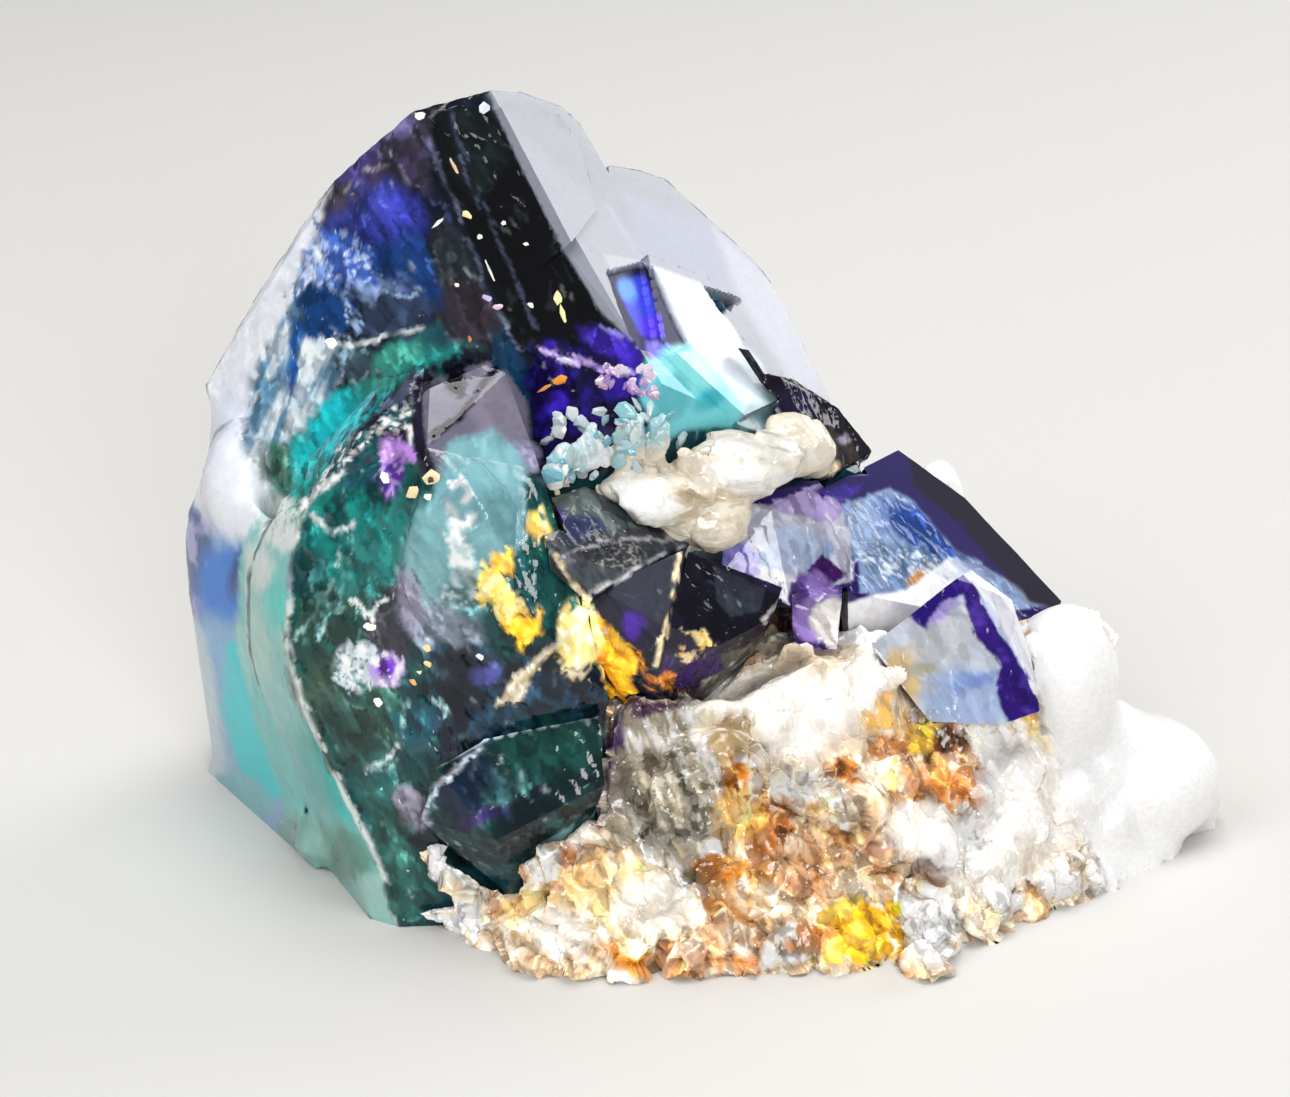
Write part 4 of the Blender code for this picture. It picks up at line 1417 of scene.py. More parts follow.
    def veins(self) -> list[Zone]:
        """The pale curved veins of the teal face, the blue clouds and the dark middle."""
        pale, white, dim = "#9cc8c4", "#dfeaea", "#5c9c9a"
        return [
            vein(pale, 4, (341, 528), (338, 560), (330, 590), (318, 612), (303, 628), (295, 640)),
            vein(dim, 3, (352, 530), (350, 565), (340, 600), (325, 625), (312, 640)),
            vein(white, 5, (312, 512), (330, 530), (345, 530), (352, 526)),
            vein(pale, 3, (318, 640), (330, 618), (345, 605), (362, 600)),
            vein(white, 4, (352, 600), (360, 612), (372, 618), (380, 604), (392, 600)),
            vein(dim, 3, (372, 565), (380, 580), (392, 584), (398, 572)),
            vein(pale, 3, (408, 700), (404, 740), (392, 768), (372, 770)),
            vein(white, 4, (366, 772), (384, 762), (400, 745)),
            vein("#33505a", 4, (400, 756), (430, 742), (470, 732), (520, 716), (600, 700)),
            vein(pale, 3, (432, 700), (445, 712), (440, 722)),
            vein(white, 5, (337, 342), (352, 345), (372, 340), (392, 338), (422, 330)),
            vein("#a8c4e4", 4, (340, 372), (352, 345), (345, 308), (330, 280)),
            vein("#9cb8e0", 4, (362, 332), (352, 312), (372, 292), (414, 296)),
            vein("#8c8490", 4, (346, 192), (362, 172), (398, 165), (410, 182)),
            vein("#d4dcec", 5, (428, 802), (445, 778), (478, 750)),
            vein("#5c6478", 4, (428, 130), (440, 170), (462, 220), (490, 300), (520, 350)),
            vein("#3c4458", 3, (450, 110), (470, 180), (500, 240), (540, 330)),
            vein("#8078c8", 4, (600, 322), (622, 334), (640, 346)),
            vein("#b8a0e0", 6, (540, 352), (568, 358), (600, 366), (630, 372)),
        ]


class DarkCubes:
    """The small dark cubes wedged in the middle."""

    node = "fluorite_dark_cubes"

    def zones(self) -> list[Zone]:
        """Grey upper facets, near-black purple faces and the olive lower edge."""
        return [
            area("#3a4046", (520, 495), (590, 482), (640, 528), (700, 540), (600, 604), (560, 562), (528, 525),
                 soft=4, warp=2, grain=Grain.CLOUD, second="#55545a", share=0.3, scale=0.7),
            area("#5a6462", (530, 504), (586, 488), (602, 510), (640, 530), (600, 530), (545, 520), soft=3, warp=2),
            oval("#463a8c", (552, 516), 18, 10, turn=15, soft=6, warp=3),
            oval("#333a5c", (586, 530), 24, 14, turn=20, soft=6, warp=3),
            oval("#303438", (612, 552), 34, 18, turn=15, soft=6, warp=3,
                 grain=Grain.CRACKS, second="#8a8480", share=0.7, scale=0.6),
            oval("#8c8a8a", (600, 590), 26, 5, turn=-30, soft=5, warp=3),
            area("#0c0a22", (590, 594), (690, 540), (670, 625), (656, 686), (626, 664), soft=3, warp=1, rough=0.6),
            oval("#0a1228", (648, 588), 30, 22, turn=-30, soft=10),
            oval("#3c1080", (634, 628), 11, 14, soft=8, warp=3),
            area("#0c0a16", (690, 546), (722, 570), (780, 595), (766, 622), (722, 642), (688, 628), (672, 602),
                 soft=3, warp=1, rough=0.05),
            area("#2a2e38", (714, 566), (766, 590), (760, 612), (730, 617), (718, 600), soft=3, warp=1),
            area("#5a574c", (690, 697), (716, 655), (762, 640), (838, 645), (742, 684), soft=4, warp=2),
            area("#504c48", (776, 592), (805, 600), (806, 642), (764, 632), soft=4, warp=2),
            area("#2a2238", (664, 650), (716, 640), (722, 668), (692, 697), (660, 682), soft=4, warp=2,
                 grain=Grain.CLOUD, second="#40206c", share=0.35, scale=0.5),
            area("#0b1a16", (498, 572), (545, 552), (562, 572), (556, 590), (520, 602), (500, 596), soft=4, warp=2),
        ]

    def build(self, refiner: Refiner, material: bpy.types.Material) -> None:
        """Builds the stone."""
        stone = refiner.refine(self.node)
        stone.base("#171226", 0.15, 0.07)
        stone.cloud("#301a5c", 4.0, 0.2, 0.6, 4)
        stone.cloud("#454a52", 3.0, 0.3, 0.6, 5)
        stone.paint(self.zones() + self.veins() + LIMONITE, 0.4)
        stone.shatter()
        stone.lift += 0.05 * rough_noise(stone.start, 1.6, 23)
        stone.move()
        piece = stone.build(material)
        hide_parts(self.node)
        LOG.info("%s: %d triangles", piece.name, len(stone.faces))

    def veins(self) -> list[Zone]:
        """The cream and pale edges between the cubes."""
        return [
            vein("#ecd8b0", 7, (546, 542), (562, 566), (580, 592), (602, 622), (632, 656), warp=2),
            vein("#e4cca4", 6, (680, 556), (674, 590), (666, 625), (658, 662), warp=2),
            vein("#b4b4b8", 4, (597, 592), (640, 566), (684, 545), warp=1.5),
            vein("#98a0a4", 4, (512, 576), (540, 562), (552, 552), warp=1.5),
            vein("#c8c4c0", 5, (690, 690), (742, 662), (770, 640), (836, 644), warp=2),
            vein("#a8a49c", 4, (764, 622), (780, 600), (800, 598), warp=2),
            vein("#a09ca0", 4, (560, 560), (584, 545), (622, 540), (690, 540), warp=3),
        ]


class RightGroup:
    """The clear lilac cube and the blue cube with its purple edges."""

    node = "fluorite_right_group"

    def zones(self) -> list[Zone]:
        """The lilac cube, the blue cube with its purple band, and the pale purple ring."""
        return [
            area("#d4d6e8", (724, 500), (770, 506), (820, 484), (852, 510), (852, 580), (790, 602), (722, 572),
                 soft=3, warp=1, clear=0.45, rough=0.06,
                 grain=Grain.CLOUD, second="#8ea4cc", share=0.3, scale=0.9),
            area("#b8a8dc", (768, 505), (820, 482), (852, 500), (832, 522), (790, 517), soft=4, warp=2),
            oval("#bccbe8", (790, 548), 30, 22, turn=15, soft=12, warp=4),
            area("#f2f2fb", (742, 584), (792, 602), (806, 584), (764, 562), soft=5, warp=4),
            oval("#9a90ec", (742, 562), 18, 22, turn=-20, soft=8, warp=3),
            area("#4526c8", (688, 530), (722, 530), (724, 578), (700, 562), soft=3, warp=1, rough=0.05),
            area("#24106c", (722, 500), (733, 502), (727, 546), (716, 546), soft=2, warp=1),
            area("#98b0dc", (828, 487), (900, 450), (1080, 600), (1010, 612), (950, 592), (860, 594), (850, 520),
                 soft=4, warp=2, clear=0.35, rough=0.08),
            oval("#a8c0e8", (880, 522), 34, 26, turn=15, soft=12, warp=5),
            oval("#2c52a4", (925, 532), 52, 22, turn=35, soft=14, warp=5),
            oval("#6c88b0", (900, 564), 44, 20, turn=10, soft=12, warp=5,
                 grain=Grain.BUBBLES, second="#c8d8ec", share=0.55, scale=0.55),
            oval("#d89850", (918, 574), 12, 7, turn=-30, soft=6, warp=4),
            area("#1c0a5c", (812, 492), (900, 440), (985, 495), (1100, 620), (1000, 578), (958, 552), (915, 502),
                 (890, 488), (852, 502), soft=6, warp=4, rough=0.8, deep=14, busy=0.0),
            area("#0c0424", (905, 445), (1000, 500), (1100, 620), (1030, 604), (960, 525), (912, 485),
                 soft=8, warp=4, deep=14, rough=0.8, busy=0.0),
            area("#3a1f9c", (815, 492), (860, 484), (848, 502), (820, 500), soft=5, warp=3),
            area("#f8f6f8", (840, 655), (846, 604), (872, 596), (905, 590), (950, 558), (1005, 564), (1030, 604),
                 (1060, 720), (960, 600), (870, 652), soft=5, warp=2, deep=8, clear=0.05, rough=0.3, busy=0.1),
            area("#42105e", (822, 554), (849, 575), (830, 586), (807, 572), soft=2, warp=1, rough=0.06),
            oval("#9478c0", (814, 608), 26, 36, soft=5, warp=3),
            oval("#ece6e4", (830, 622), 20, 26, soft=6, warp=4),
            oval("#5a3c8c", (800, 590), 8, 18, turn=10, soft=6, warp=3),
        ]

    def build(self, refiner: Refiner, material: bpy.types.Material) -> None:
        """Builds the stone."""
        stone = refiner.refine(self.node)
        stone.base("#26145e", 0.2, 0.08)
        stone.cloud("#5064ac", 5.0, 0.2, 0.6, 4)
        stone.paint(self.zones() + self.veins() + LIMONITE, 0.4)
        stone.shatter()
        stone.lift += 0.04 * rough_noise(stone.start, 1.8, 27)
        stone.move()
        piece = stone.build(material)
        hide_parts(self.node)
        LOG.info("%s: %d triangles", piece.name, len(stone.faces))

    def veins(self) -> list[Zone]:
        """The pale edges of the two cubes."""
        return [
            vein("#e8e8f4", 5, (726, 500), (770, 510), (790, 518), (826, 522), warp=2),
            vein("#c8c4e0", 4, (820, 486), (846, 476), (870, 462), (892, 454), warp=2),
            vein("#b8b4d0", 4, (850, 512), (850, 545), (848, 576), warp=2),
            vein("#dce8f8", 4, (862, 560), (890, 570), (930, 568), (950, 580), warp=4),
        ]


class FrontCorner:
    """The blue cube whose corner points at the viewer."""

    node = "fluorite_front_corner"

    def zones(self) -> list[Zone]:
        """Purple along its two upper edges, blue below and a rusty stain at its left."""
        return [
            area("#d2d8e4", (860, 640), (958, 570), (1050, 715), (1000, 735), (925, 730), soft=4, warp=0,
                 clear=0.4, rough=0.06),
            oval("#ccd0d4", (948, 636), 38, 22, turn=-15, soft=14, warp=4),
            oval("#b4c6ea", (968, 698), 48, 28, turn=5, soft=16, warp=5),
            oval("#8fa8e4", (975, 682), 24, 8, turn=-15, soft=8, warp=5),
            oval("#e8ca94", (902, 682), 22, 32, turn=10, soft=14, warp=6),
            oval("#b8b4a0", (925, 668), 16, 8, soft=8, warp=6),
            oval("#b8a4e8", (938, 612), 22, 9, turn=-30, soft=8, warp=3),
            area("#2c1080", (906, 616), (914, 600), (952, 574), (966, 578), (970, 592), (945, 602), (930, 616),
                 (926, 628), soft=4, warp=3, rough=0.05),
            area("#2c1074", (955, 572), (968, 576), (1012, 650), (1048, 716), (1010, 726), (994, 692), (1002, 668),
                 (978, 642), soft=4, warp=4, rough=0.05,
                 grain=Grain.CLOUD, second="#4a2c9c", share=0.25, scale=0.4),
            area("#f0f0f8", (966, 574), (1003, 568), (1026, 602), (1056, 716), (1034, 694), (1002, 622),
                 soft=4, warp=3),
            vein("#fcfcff", 14, (866, 644), (905, 612), (948, 572), (965, 566), (995, 570), (1018, 604), warp=1.5,
                 clear=0.05),
        ]

    def build(self, refiner: Refiner, material: bpy.types.Material) -> None:
        """Builds the stone."""
        stone = refiner.refine(self.node)
        stone.base("#c4cce4", 0.35, 0.08)
        stone.cloud("#38208c", 3.0, 0.2, 0.5, 4)
        stone.paint(self.zones() + LIMONITE, 0.2)
        stone.shatter()
        stone.lift += 0.04 * rough_noise(stone.start, 1.8, 29)
        stone.move()
        piece = stone.build(material)
        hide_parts(self.node)
        LOG.info("%s: %d triangles", piece.name, len(stone.faces))


class Blade:
    """The dark plate-like crystal on the big crystal's right face."""

    node = "fluorite_blade"

    def zones(self) -> list[Zone]:
        """Purple-black above and smoky brown below."""
        return [
            area("#15101e", (735, 345), (765, 360), (800, 378), (850, 420), (830, 440), (780, 440), (755, 385),
                 soft=4, warp=2, deep=9, rough=0.06),
            oval("#221838", (800, 405), 24, 14, turn=40, soft=12, warp=4),
            oval("#3c3432", (826, 446), 30, 18, turn=30, soft=12, warp=4, clear=0.3,
                 grain=Grain.CLOUD, second="#5c504c", share=0.3, scale=0.6),
            oval("#c8b890", (826, 470), 12, 8, turn=-20, soft=5, warp=2),
            oval("#9c96a8", (843, 438), 6, 5, soft=4, warp=2),
            area("#8fa8b0", (760, 392), (772, 395), (782, 412), (770, 418), soft=4, warp=2),
        ]

    def build(self, refiner: Refiner, material: bpy.types.Material) -> None:
        """Builds the stone."""
        stone = refiner.refine(self.node, 0.2)
        stone.base("#17111f", 0.2, 0.07)
        stone.paint(self.zones() + LIMONITE, 0.5)
        stone.shatter()
        stone.lift += 0.05 * rough_noise(stone.start, 1.2, 31)
        stone.move()
        piece = stone.build(material)
        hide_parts(self.node)
        LOG.info("%s: %d triangles", piece.name, len(stone.faces))


class UpperQuartz:
    """The clear and cream quartz lump in the middle, with druse along its left side."""

    node = "quartz_upper"

    def zones(self) -> list[Zone]:
        """Cream and clear layers, with teal light in the druse."""
        return [
            oval("#e2d6c4", (690, 478), 46, 34, turn=20, soft=16, warp=6,
                 grain=Grain.STREAKS, second="#b8a488", share=0.3, scale=0.5, lean=25),
            oval("#d8c8ac", (712, 508), 36, 16, turn=-20, soft=10, warp=5,
                 grain=Grain.STREAKS, second="#fff4e0", share=0.4, scale=0.4, lean=-20),
            oval("#e0dcd4", (760, 446), 60, 14, turn=6, soft=10, warp=4,
                 grain=Grain.STREAKS, second="#b8b4ac", share=0.3, scale=0.4, lean=8),
            oval("#f4f1ea", (760, 478), 50, 16, turn=8, soft=10, warp=4),
            oval("#fbfbf4", (640, 500), 40, 22, turn=10, soft=14, warp=6),
            oval("#bcd6da", (570, 450), 44, 34, turn=-10, soft=16, warp=6,
                 grain=Grain.STREAKS, second="#f0f6f6", share=0.5, scale=0.5, lean=80),
            oval("#a8ccd0", (645, 425), 26, 24, soft=12, warp=5,
                 grain=Grain.CRACKS, second="#eef4f4", share=0.8, scale=0.6),
            oval("#8c8a8c", (620, 516), 24, 8, turn=10, soft=6, warp=3),
        ]

    def build(self, refiner: Refiner, material: bpy.types.Material) -> None:
        """Builds the stone."""
        stone = refiner.refine(self.node, 0.2)
        stone.round_off(np.ones(len(stone.start)), 25)
        stone.base("#e6dac6", 0.2, 0.10)
        stone.cloud("#eadfcc", 3.0, 0.1, 0.6, 4)
        rise = stone.start @ np.array((0.12, -0.35, 0.93)) + 0.5 * rough_noise(stone.start, 3, 7)
        layers = ramp(np.sin(2 * math.pi * rise / 1.3), -0.3, 0.3)
        stone.blend(0.55 * (1 - layers) * ramp(rough_noise(stone.start, 4.0, 9), -0.1, 0.35), "#b08c60")
        stone.lift += 0.05 * layers + 0.10 * rough_noise(stone.start, 2.0, 43)
        stone.lift += 0.45 * Cells.at(stone.start, 3.6, 41).facets()
        stone.paint(self.zones() + LIMONITE, 0.2)
        stone.shatter(0.5)
        stone.move()
        piece = stone.build(material)
        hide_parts(self.node)
        LOG.info("%s: %d triangles", piece.name, len(stone.faces))

    def dress(self, drawer: Drawer, material: bpy.types.Material) -> None:
        """Adds the druse of short points and the pink crystals above it."""
        pile = Pile("quartz_druse")
        rng = drawer.rng
        druse = ((545, 420), (600, 400), (680, 405), (690, 440), (620, 485), (545, 480))
        pinks = ((595, 362), (650, 368), (655, 400), (600, 395))
        for count, outline, tints, long in (
            (60, druse, ["#b4dade", "#d8eaee", "#7cbccc", "#eef6f8", "#98ccd4"], (0.6, 1.7)),
            (30, pinks, ["#d8b4d4", "#e8d4ec", "#b894d0", "#f4e8f4"], (0.6, 1.3)),
        ):
            for _ in range(count):
                found = drawer.surface.hit(drawer.inside(outline))
                if not found:
                    continue
                place, normal = found
                tilt = normal + 0.45 * np.array([rng.uniform(-1, 1) for _ in range(3)])
                half = rng.uniform(*long) / 2
                size = (half, half * rng.uniform(0.4, 0.8), half * rng.uniform(0.2, 0.45))
                body = drawer.shapes.pebble(place, tilt / np.linalg.norm(tilt), size)
                pile.add(*body, rng.choice(tints), 0.3, 0.12)
        pile.build(material, 20)


class MatrixQuartz:
    """The granular quartz base with rusty seams and smooth white lobes at its right end."""

    node = "quartz_matrix"

    WHITE_END = (
        (1022, 590), (1080, 590), (1150, 690), (1240, 720), (1260, 810), (1190, 900), (1108, 888), (1085, 840),
        (1060, 770), (1040, 722),
    )
    KNOB = ((905, 440), (985, 450), (985, 510), (950, 515))

    def zones(self) -> list[Zone]:
        """The clear lump, the stains and the white parts."""
        brown, rust = "#8c5426", "#d07c28"
        return [
            area("#e8dfce", (600, 700), (760, 680), (860, 640), (900, 700), (840, 720), (700, 760), soft=14, warp=6,
                 clear=0.12, busy=0.25),
            area("#f6efe6", (985, 725), (1040, 725), (1070, 790), (1085, 850), (1030, 885), (985, 850), (970, 790),
                 soft=12, warp=8, clear=0.08, busy=0.25),
            area("#d9c6ac", (760, 640), (850, 622), (930, 650), (915, 700), (880, 745), (800, 770), (755, 700),
                 soft=12, warp=8, clear=0.08, busy=0.35),
            oval("#dcd0b8", (745, 700), 50, 26, turn=-20, soft=16, warp=6, clear=0.2, busy=0.2),
            oval("#c4a878", (738, 735), 26, 24, soft=16, warp=8, clear=0.4),
            oval("#dccdbc", (800, 715), 50, 50, soft=20, warp=8, clear=0.1, busy=0.3),
            oval("#b4a890", (660, 785), 66, 92, turn=-12, soft=16, warp=8, clear=0.35, rough=0.08, busy=0.45,
                 grain=Grain.STREAKS, second="#f4f0e8", share=0.35, scale=0.5, lean=70),
            oval("#a8a294", (672, 800), 40, 50, turn=-20, soft=20, warp=10, clear=0.3,
                 grain=Grain.SHARDS, second="#5c5444", share=0.3, scale=0.5, busy=0.8),
            oval("#6a4a78", (606, 762), 9, 56, turn=20, soft=8, warp=4),
            oval("#583a50", (650, 705), 34, 8, turn=5, soft=6, warp=4),
            oval("#a89c94", (612, 790), 16, 30, turn=10, soft=10, warp=4),
            oval("#c0bca4", (572, 812), 20, 30, turn=10, soft=8, warp=4, clear=0.5),
            area("#fdfcfa", (418, 838), (468, 836), (470, 940), (420, 940), soft=8, warp=5,
                 clear=0.1, rough=0.4),
            oval("#9c9484", (490, 870), 20, 24, soft=12, warp=8,
                 grain=Grain.CRACKS, second="#3c342c", share=0.9, scale=0.6),
            oval("#4c4a44", (520, 838), 30, 14, turn=-25, soft=8, warp=6,
                 grain=Grain.CRACKS, second="#c8d0c8", share=0.9, scale=0.5),
            oval("#e8b470", (595, 880), 16, 40, turn=5, soft=14, warp=8),
            oval("#f0c888", (535, 905), 36, 18, soft=16, warp=8),
            oval("#fce0a8", (640, 900), 60, 40, soft=30, warp=12, amount=0.7),
            oval(brown, (495, 905), 12, 12, soft=8, warp=6, amount=0.6),
            oval("#c87818", (712, 874), 26, 12, turn=-10, soft=8, warp=5),
            oval("#6c5c20", (688, 882), 16, 10, turn=-20, soft=8, warp=4),
            oval("#f0a848", (755, 870), 22, 14, soft=12, warp=6),
            oval(brown, (772, 828), 22, 22, soft=12, warp=8, grain=Grain.CLOUD, second="#4a2c14", share=0.3, scale=0.4),
            oval(rust, (738, 780), 10, 26, turn=-10, soft=10, warp=6),
            oval("#e8b04c", (742, 815), 30, 26, soft=16, warp=8, amount=0.8),
            oval(rust, (843, 774), 20, 12, turn=20, soft=8, warp=5),
            oval("#6a3c18", (838, 770), 10, 9, soft=6, warp=4),
            oval("#4a2810", (940, 742), 26, 14, turn=-15, soft=8, warp=5),
            oval("#f4c038", (925, 735), 10, 16, soft=8, warp=4),
            oval(rust, (950, 785), 34, 22, turn=20, soft=14, warp=8, amount=0.85),
            oval("#e8a458", (935, 770), 18, 12, soft=10, warp=6),
            oval(brown, (770, 845), 16, 26, turn=20, soft=12, warp=8, amount=0.8),
            oval(brown, (870, 850), 34, 22, turn=35, soft=14, warp=9, amount=0.85,
                 grain=Grain.CLOUD, second="#e8c088", share=0.35, scale=0.4),
            oval("#c89058", (830, 840), 26, 16, turn=20, soft=12, warp=8, amount=0.8),
            oval("#cc8a48", (800, 870), 40, 26, soft=20, warp=10, amount=0.6),
            oval("#f4c268", (820, 812), 24, 8, turn=-10, soft=10, warp=6, amount=0.8),
            oval("#f4b83c", (880, 720), 12, 22, turn=10, soft=10, warp=8, amount=0.8),
            oval(brown, (930, 865), 16, 18, turn=15, soft=8, warp=6),
            oval("#b07840", (770, 800), 40, 5, turn=10, soft=8, warp=5, amount=0.7),
            oval("#a8744c", (790, 890), 14, 18, turn=-20, soft=8, warp=6, amount=0.8),
            area("#ffbc08", (822, 910), (850, 895), (896, 905), (898, 962), (840, 958), (818, 945),
                 soft=6, warp=5, rough=0.6, grain=Grain.CLOUD, second="#ffd850", share=0.3, scale=0.6),
            oval("#d88820", (632, 958), 26, 10, turn=15, soft=8, warp=5,
                 grain=Grain.CLOUD, second="#8a5010", share=0.3, scale=0.4),
            oval("#8c6038", (668, 946), 10, 6, soft=6, warp=4),
            oval("#e09858", (812, 940), 24, 14, soft=10, warp=6),
            oval("#fbf9f6", (960, 845), 40, 30, soft=20, warp=8, amount=0.8),
            oval("#fdfbf9", (930, 930), 30, 34, soft=14, warp=6),
            oval("#e6e2e0", (1030, 800), 50, 60, soft=24, warp=6, clear=0.4),
            oval("#f4dcb8", (1040, 850), 50, 16, turn=-20, soft=14, warp=6, amount=0.7),
            oval("#f0c468", (1030, 722), 24, 10, turn=40, soft=8, warp=5),
            oval("#fbe8c0", (1050, 740), 18, 12, turn=30, soft=10, warp=5),
            *(
                oval("#f6f0e8", middle, wide, high, turn=turn, soft=0.6 * min(wide, high), warp=5, amount=0.8,
                     clear=0.1, rough=0.07, lift=0.3, busy=0.2)
                for middle, wide, high, turn in (
                    ((800, 716), 46, 40, -20),
                    ((886, 664), 36, 26, -30),
                    ((1042, 800), 52, 56, 10),
                    ((742, 690), 40, 22, -20),
                    ((575, 812), 20, 34, 10),
                    ((920, 830), 40, 26, 20),
                    ((655, 905), 44, 30, -10),
                    ((985, 870), 44, 26, -15),
                    ((560, 930), 34, 24, 10),
                    ((855, 690), 22, 30, 10),
                )
            ),
            area("#e6e5e4", *self.WHITE_END, soft=10, warp=3, deep=30, clear=0.05, rough=0.3),
            area("#ffffff", *self.KNOB, soft=4, warp=0, deep=20, clear=0.05),
            area("#ffffff", (848, 590), (880, 600), (955, 562), (965, 568), (900, 622), (862, 650), (840, 640),
                 soft=4, warp=3, clear=0.05),
            oval("#ece6e2", (838, 620), 22, 22, soft=8, warp=4),
            oval("#756a54", (655, 788), 34, 40, turn=-20, soft=16, warp=6, amount=0.7,
                 grain=Grain.STREAKS, second="#d8ccb4", share=0.4, scale=0.6, lean=60),
        ]

    def build(self, refiner: Refiner, material: bpy.types.Material) -> None:
        """Builds the stone with its broken grains."""
        stone = refiner.refine(self.node, 0.23)
        white = np.maximum(stone.cover_of(self.WHITE_END), stone.cover_of(self.KNOB))
        stone.round_off(np.maximum(0.25, white), 50)
        stone.base("#fff1dc", 0.05, 0.13)
        stone.busy[:] = 1.0
        bend = 0.7 * np.stack([rough_noise(stone.start, 3.0, k, 3) for k in (61, 62, 63)], 1)
        large = Cells.at(stone.start + bend, 4.2, 71)
        small = Cells.at((stone.start + bend) * np.array((1.0, 1.0, 0.6)), 1.5, 73)
        stone.blend(0.6 * (large.own < 0.25), "#e4d6c2")
        glassy = (large.own > 0.4) & (large.own < 0.65)
        stone.blend(0.9 * glassy, "#fffefb")
        stone.clear += 0.3 * glassy
        rusty = ramp(rough_noise(stone.start, 6.0, 77, 4), -0.05, 0.4)
        seams = 1 - ramp(large.seam, 0.0, 0.3)
        small_seams = 1 - ramp(small.seam, 0.0, 0.25)
        stone.blend(0.6 * seams, "#e0b078")
        stone.blend(0.5 * small_seams, "#f0cc98")
        stone.blend(0.65 * seams * rusty, "#b8661c")
        stone.blend(0.5 * small_seams * rusty, "#cc8430")
        stone.blend(0.55 * rusty * (small.own > 0.5) * (small.own < 0.7), "#f4b458")
        stone.blend(0.5 * rusty * (small.own < 0.1), "#74441c")
        stone.paint(self.zones() + LIMONITE)
        rugged = stone.busy * (1 - white)
        stone.lift += rugged * (0.10 * (ramp(large.seam, 0.0, 0.2) - 0.6) + 0.8 * large.facets())
        stone.lift += 0.45 * rugged * rough_noise(stone.start, 3.4, 81)
        stone.lift += rugged * (0.04 * (ramp(small.seam, 0.0, 0.2) - 0.6) + 0.4 * small.facets())
        stone.lift += 0.04 * rugged * rough_noise(stone.start, 0.7, 79)
        stone.busy = 0.7 * rugged
        stone.shatter()
        stone.move()
        piece = stone.build(material, 14)
        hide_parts(self.node)
        LOG.info("%s: %d triangles", piece.name, len(stone.faces))


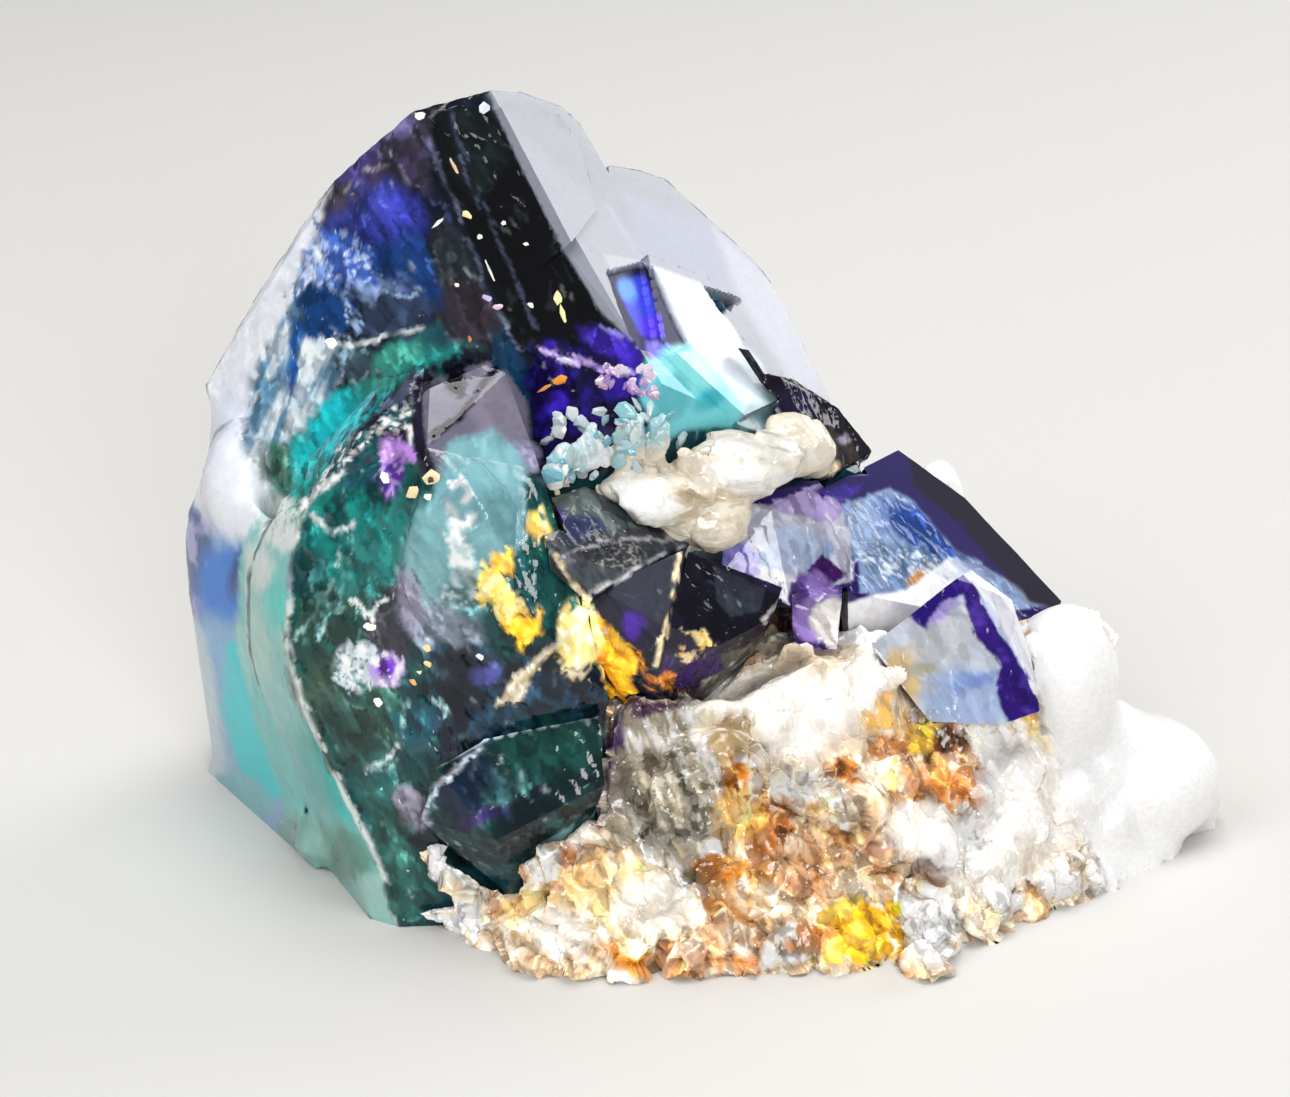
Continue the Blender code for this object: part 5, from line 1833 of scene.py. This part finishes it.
@dataclass(frozen=True)
class Studio:
    """A pale floor and backdrop in one sweep, with soft lights."""

    floor: str = "#c9c7c3"
    depth: float = 0.6

    def build(self) -> None:
        """Adds the floor, the lights and the world."""
        scene = bpy.context.scene
        mesh = bpy.data.meshes.new("studio_floor")
        profile = [(-1.2, 0.0), (self.depth, 0.0)]
        for i in range(1, 13):
            turn = math.radians(90 * i / 12)
            profile.append((self.depth + 0.25 * math.sin(turn), 0.25 * (1 - math.cos(turn))))
        profile.append((self.depth + 0.25, 1.6))
        points = [(x, y, z) for y, z in profile for x in (-1.6, 1.6)]
        faces = [(2 * i, 2 * i + 1, 2 * i + 3, 2 * i + 2) for i in range(len(profile) - 1)]
        mesh.from_pydata(points, [], faces)
        mesh.shade_smooth()
        floor = bpy.data.objects.new("studio_floor", mesh)
        scene.collection.objects.link(floor)
        paper = bpy.data.materials.new("matt_paper_sweep")
        paper.use_nodes = True
        shader = paper.node_tree.nodes["Principled BSDF"]
        shader.inputs["Base Color"].default_value = (*linear(self.floor), 1.0)
        shader.inputs["Roughness"].default_value = 0.85
        mesh.materials.append(paper)
        floor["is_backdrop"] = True
        self.light("key_left_softbox", (-0.34, -0.26, 0.46), 0.30, 1.6)
        self.light("right_back_softbox", (0.42, 0.34, 0.30), 0.34, 1.8)
        self.light("top_softbox", (0.02, 0.05, 0.55), 0.32, 2.0)
        self.light("front_fill", (0.16, -0.60, 0.26), 0.26, 2.6)
        world = bpy.data.worlds.new("studio_air")
        world.use_nodes = True
        world.node_tree.nodes["Background"].inputs["Color"].default_value = (*linear("#dfe3ea"), 1.0)
        world.node_tree.nodes["Background"].inputs["Strength"].default_value = 0.3
        scene.world = world
        scene.view_settings.view_transform = "Standard"
        scene.cycles.max_bounces = 6
        scene.cycles.diffuse_bounces = 2
        scene.cycles.glossy_bounces = 3
        scene.cycles.transmission_bounces = 5
        scene.cycles.caustics_reflective = False
        scene.cycles.sample_clamp_indirect = 4.0
        scene.cycles.adaptive_threshold = 0.04

    def light(self, name: str, place: tuple[float, float, float], size: float, power: float) -> None:
        """Adds a square soft light that points at the specimen."""
        data = bpy.data.lights.new(name, "AREA")
        data.size = size
        data.energy = power
        lamp = bpy.data.objects.new(name, data)
        bpy.context.scene.collection.objects.link(lamp)
        lamp.location = place
        lamp.rotation_euler = (Vector(place) - Vector((0, 0, 0.02))).to_track_quat("Z", "Y").to_euler()


def main() -> None:
    """Builds every piece in order."""
    logging.basicConfig(level=logging.INFO, format="%(name)s: %(message)s")
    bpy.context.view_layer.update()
    main_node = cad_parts["fluorite_main"]
    apex = max((vert.co for vert in main_node.data.vertices), key=lambda co: co.z)
    view = PhotoView(tuple(value / MM for value in apex))
    view.add_camera()
    Studio().build()

    surface = Surface.of_cad(view)
    refiner = Refiner(surface)
    rng = random.Random(5)
    drawer = Drawer(surface, Shapes(rng), rng)
    fluorite = PaintedMineral("zoned_fluorite", 1.434, 0.5, 0.05, 0.05, absorb="#3f9c9c", density=30.0).material()
    quartz = PaintedMineral("granular_quartz", 1.544, 0.35, 0.14, 0.06, absorb="#f0e2c8", density=14.0).material()
    opaque = PaintedMineral("mineral_inclusions", 1.5, 0.3, 0.1, 0.1).material()

    main_crystal = MainCrystal()
    main_crystal.build(refiner, fluorite)
    main_crystal.dress(drawer, opaque)
    for crystal in (DarkCubes(), RightGroup(), FrontCorner(), Blade()):
        crystal.build(refiner, fluorite)
    upper_quartz = UpperQuartz()
    upper_quartz.build(refiner, quartz)
    upper_quartz.dress(drawer, quartz)
    MatrixQuartz().build(refiner, quartz)


if __name__ == "__main__":
    main()
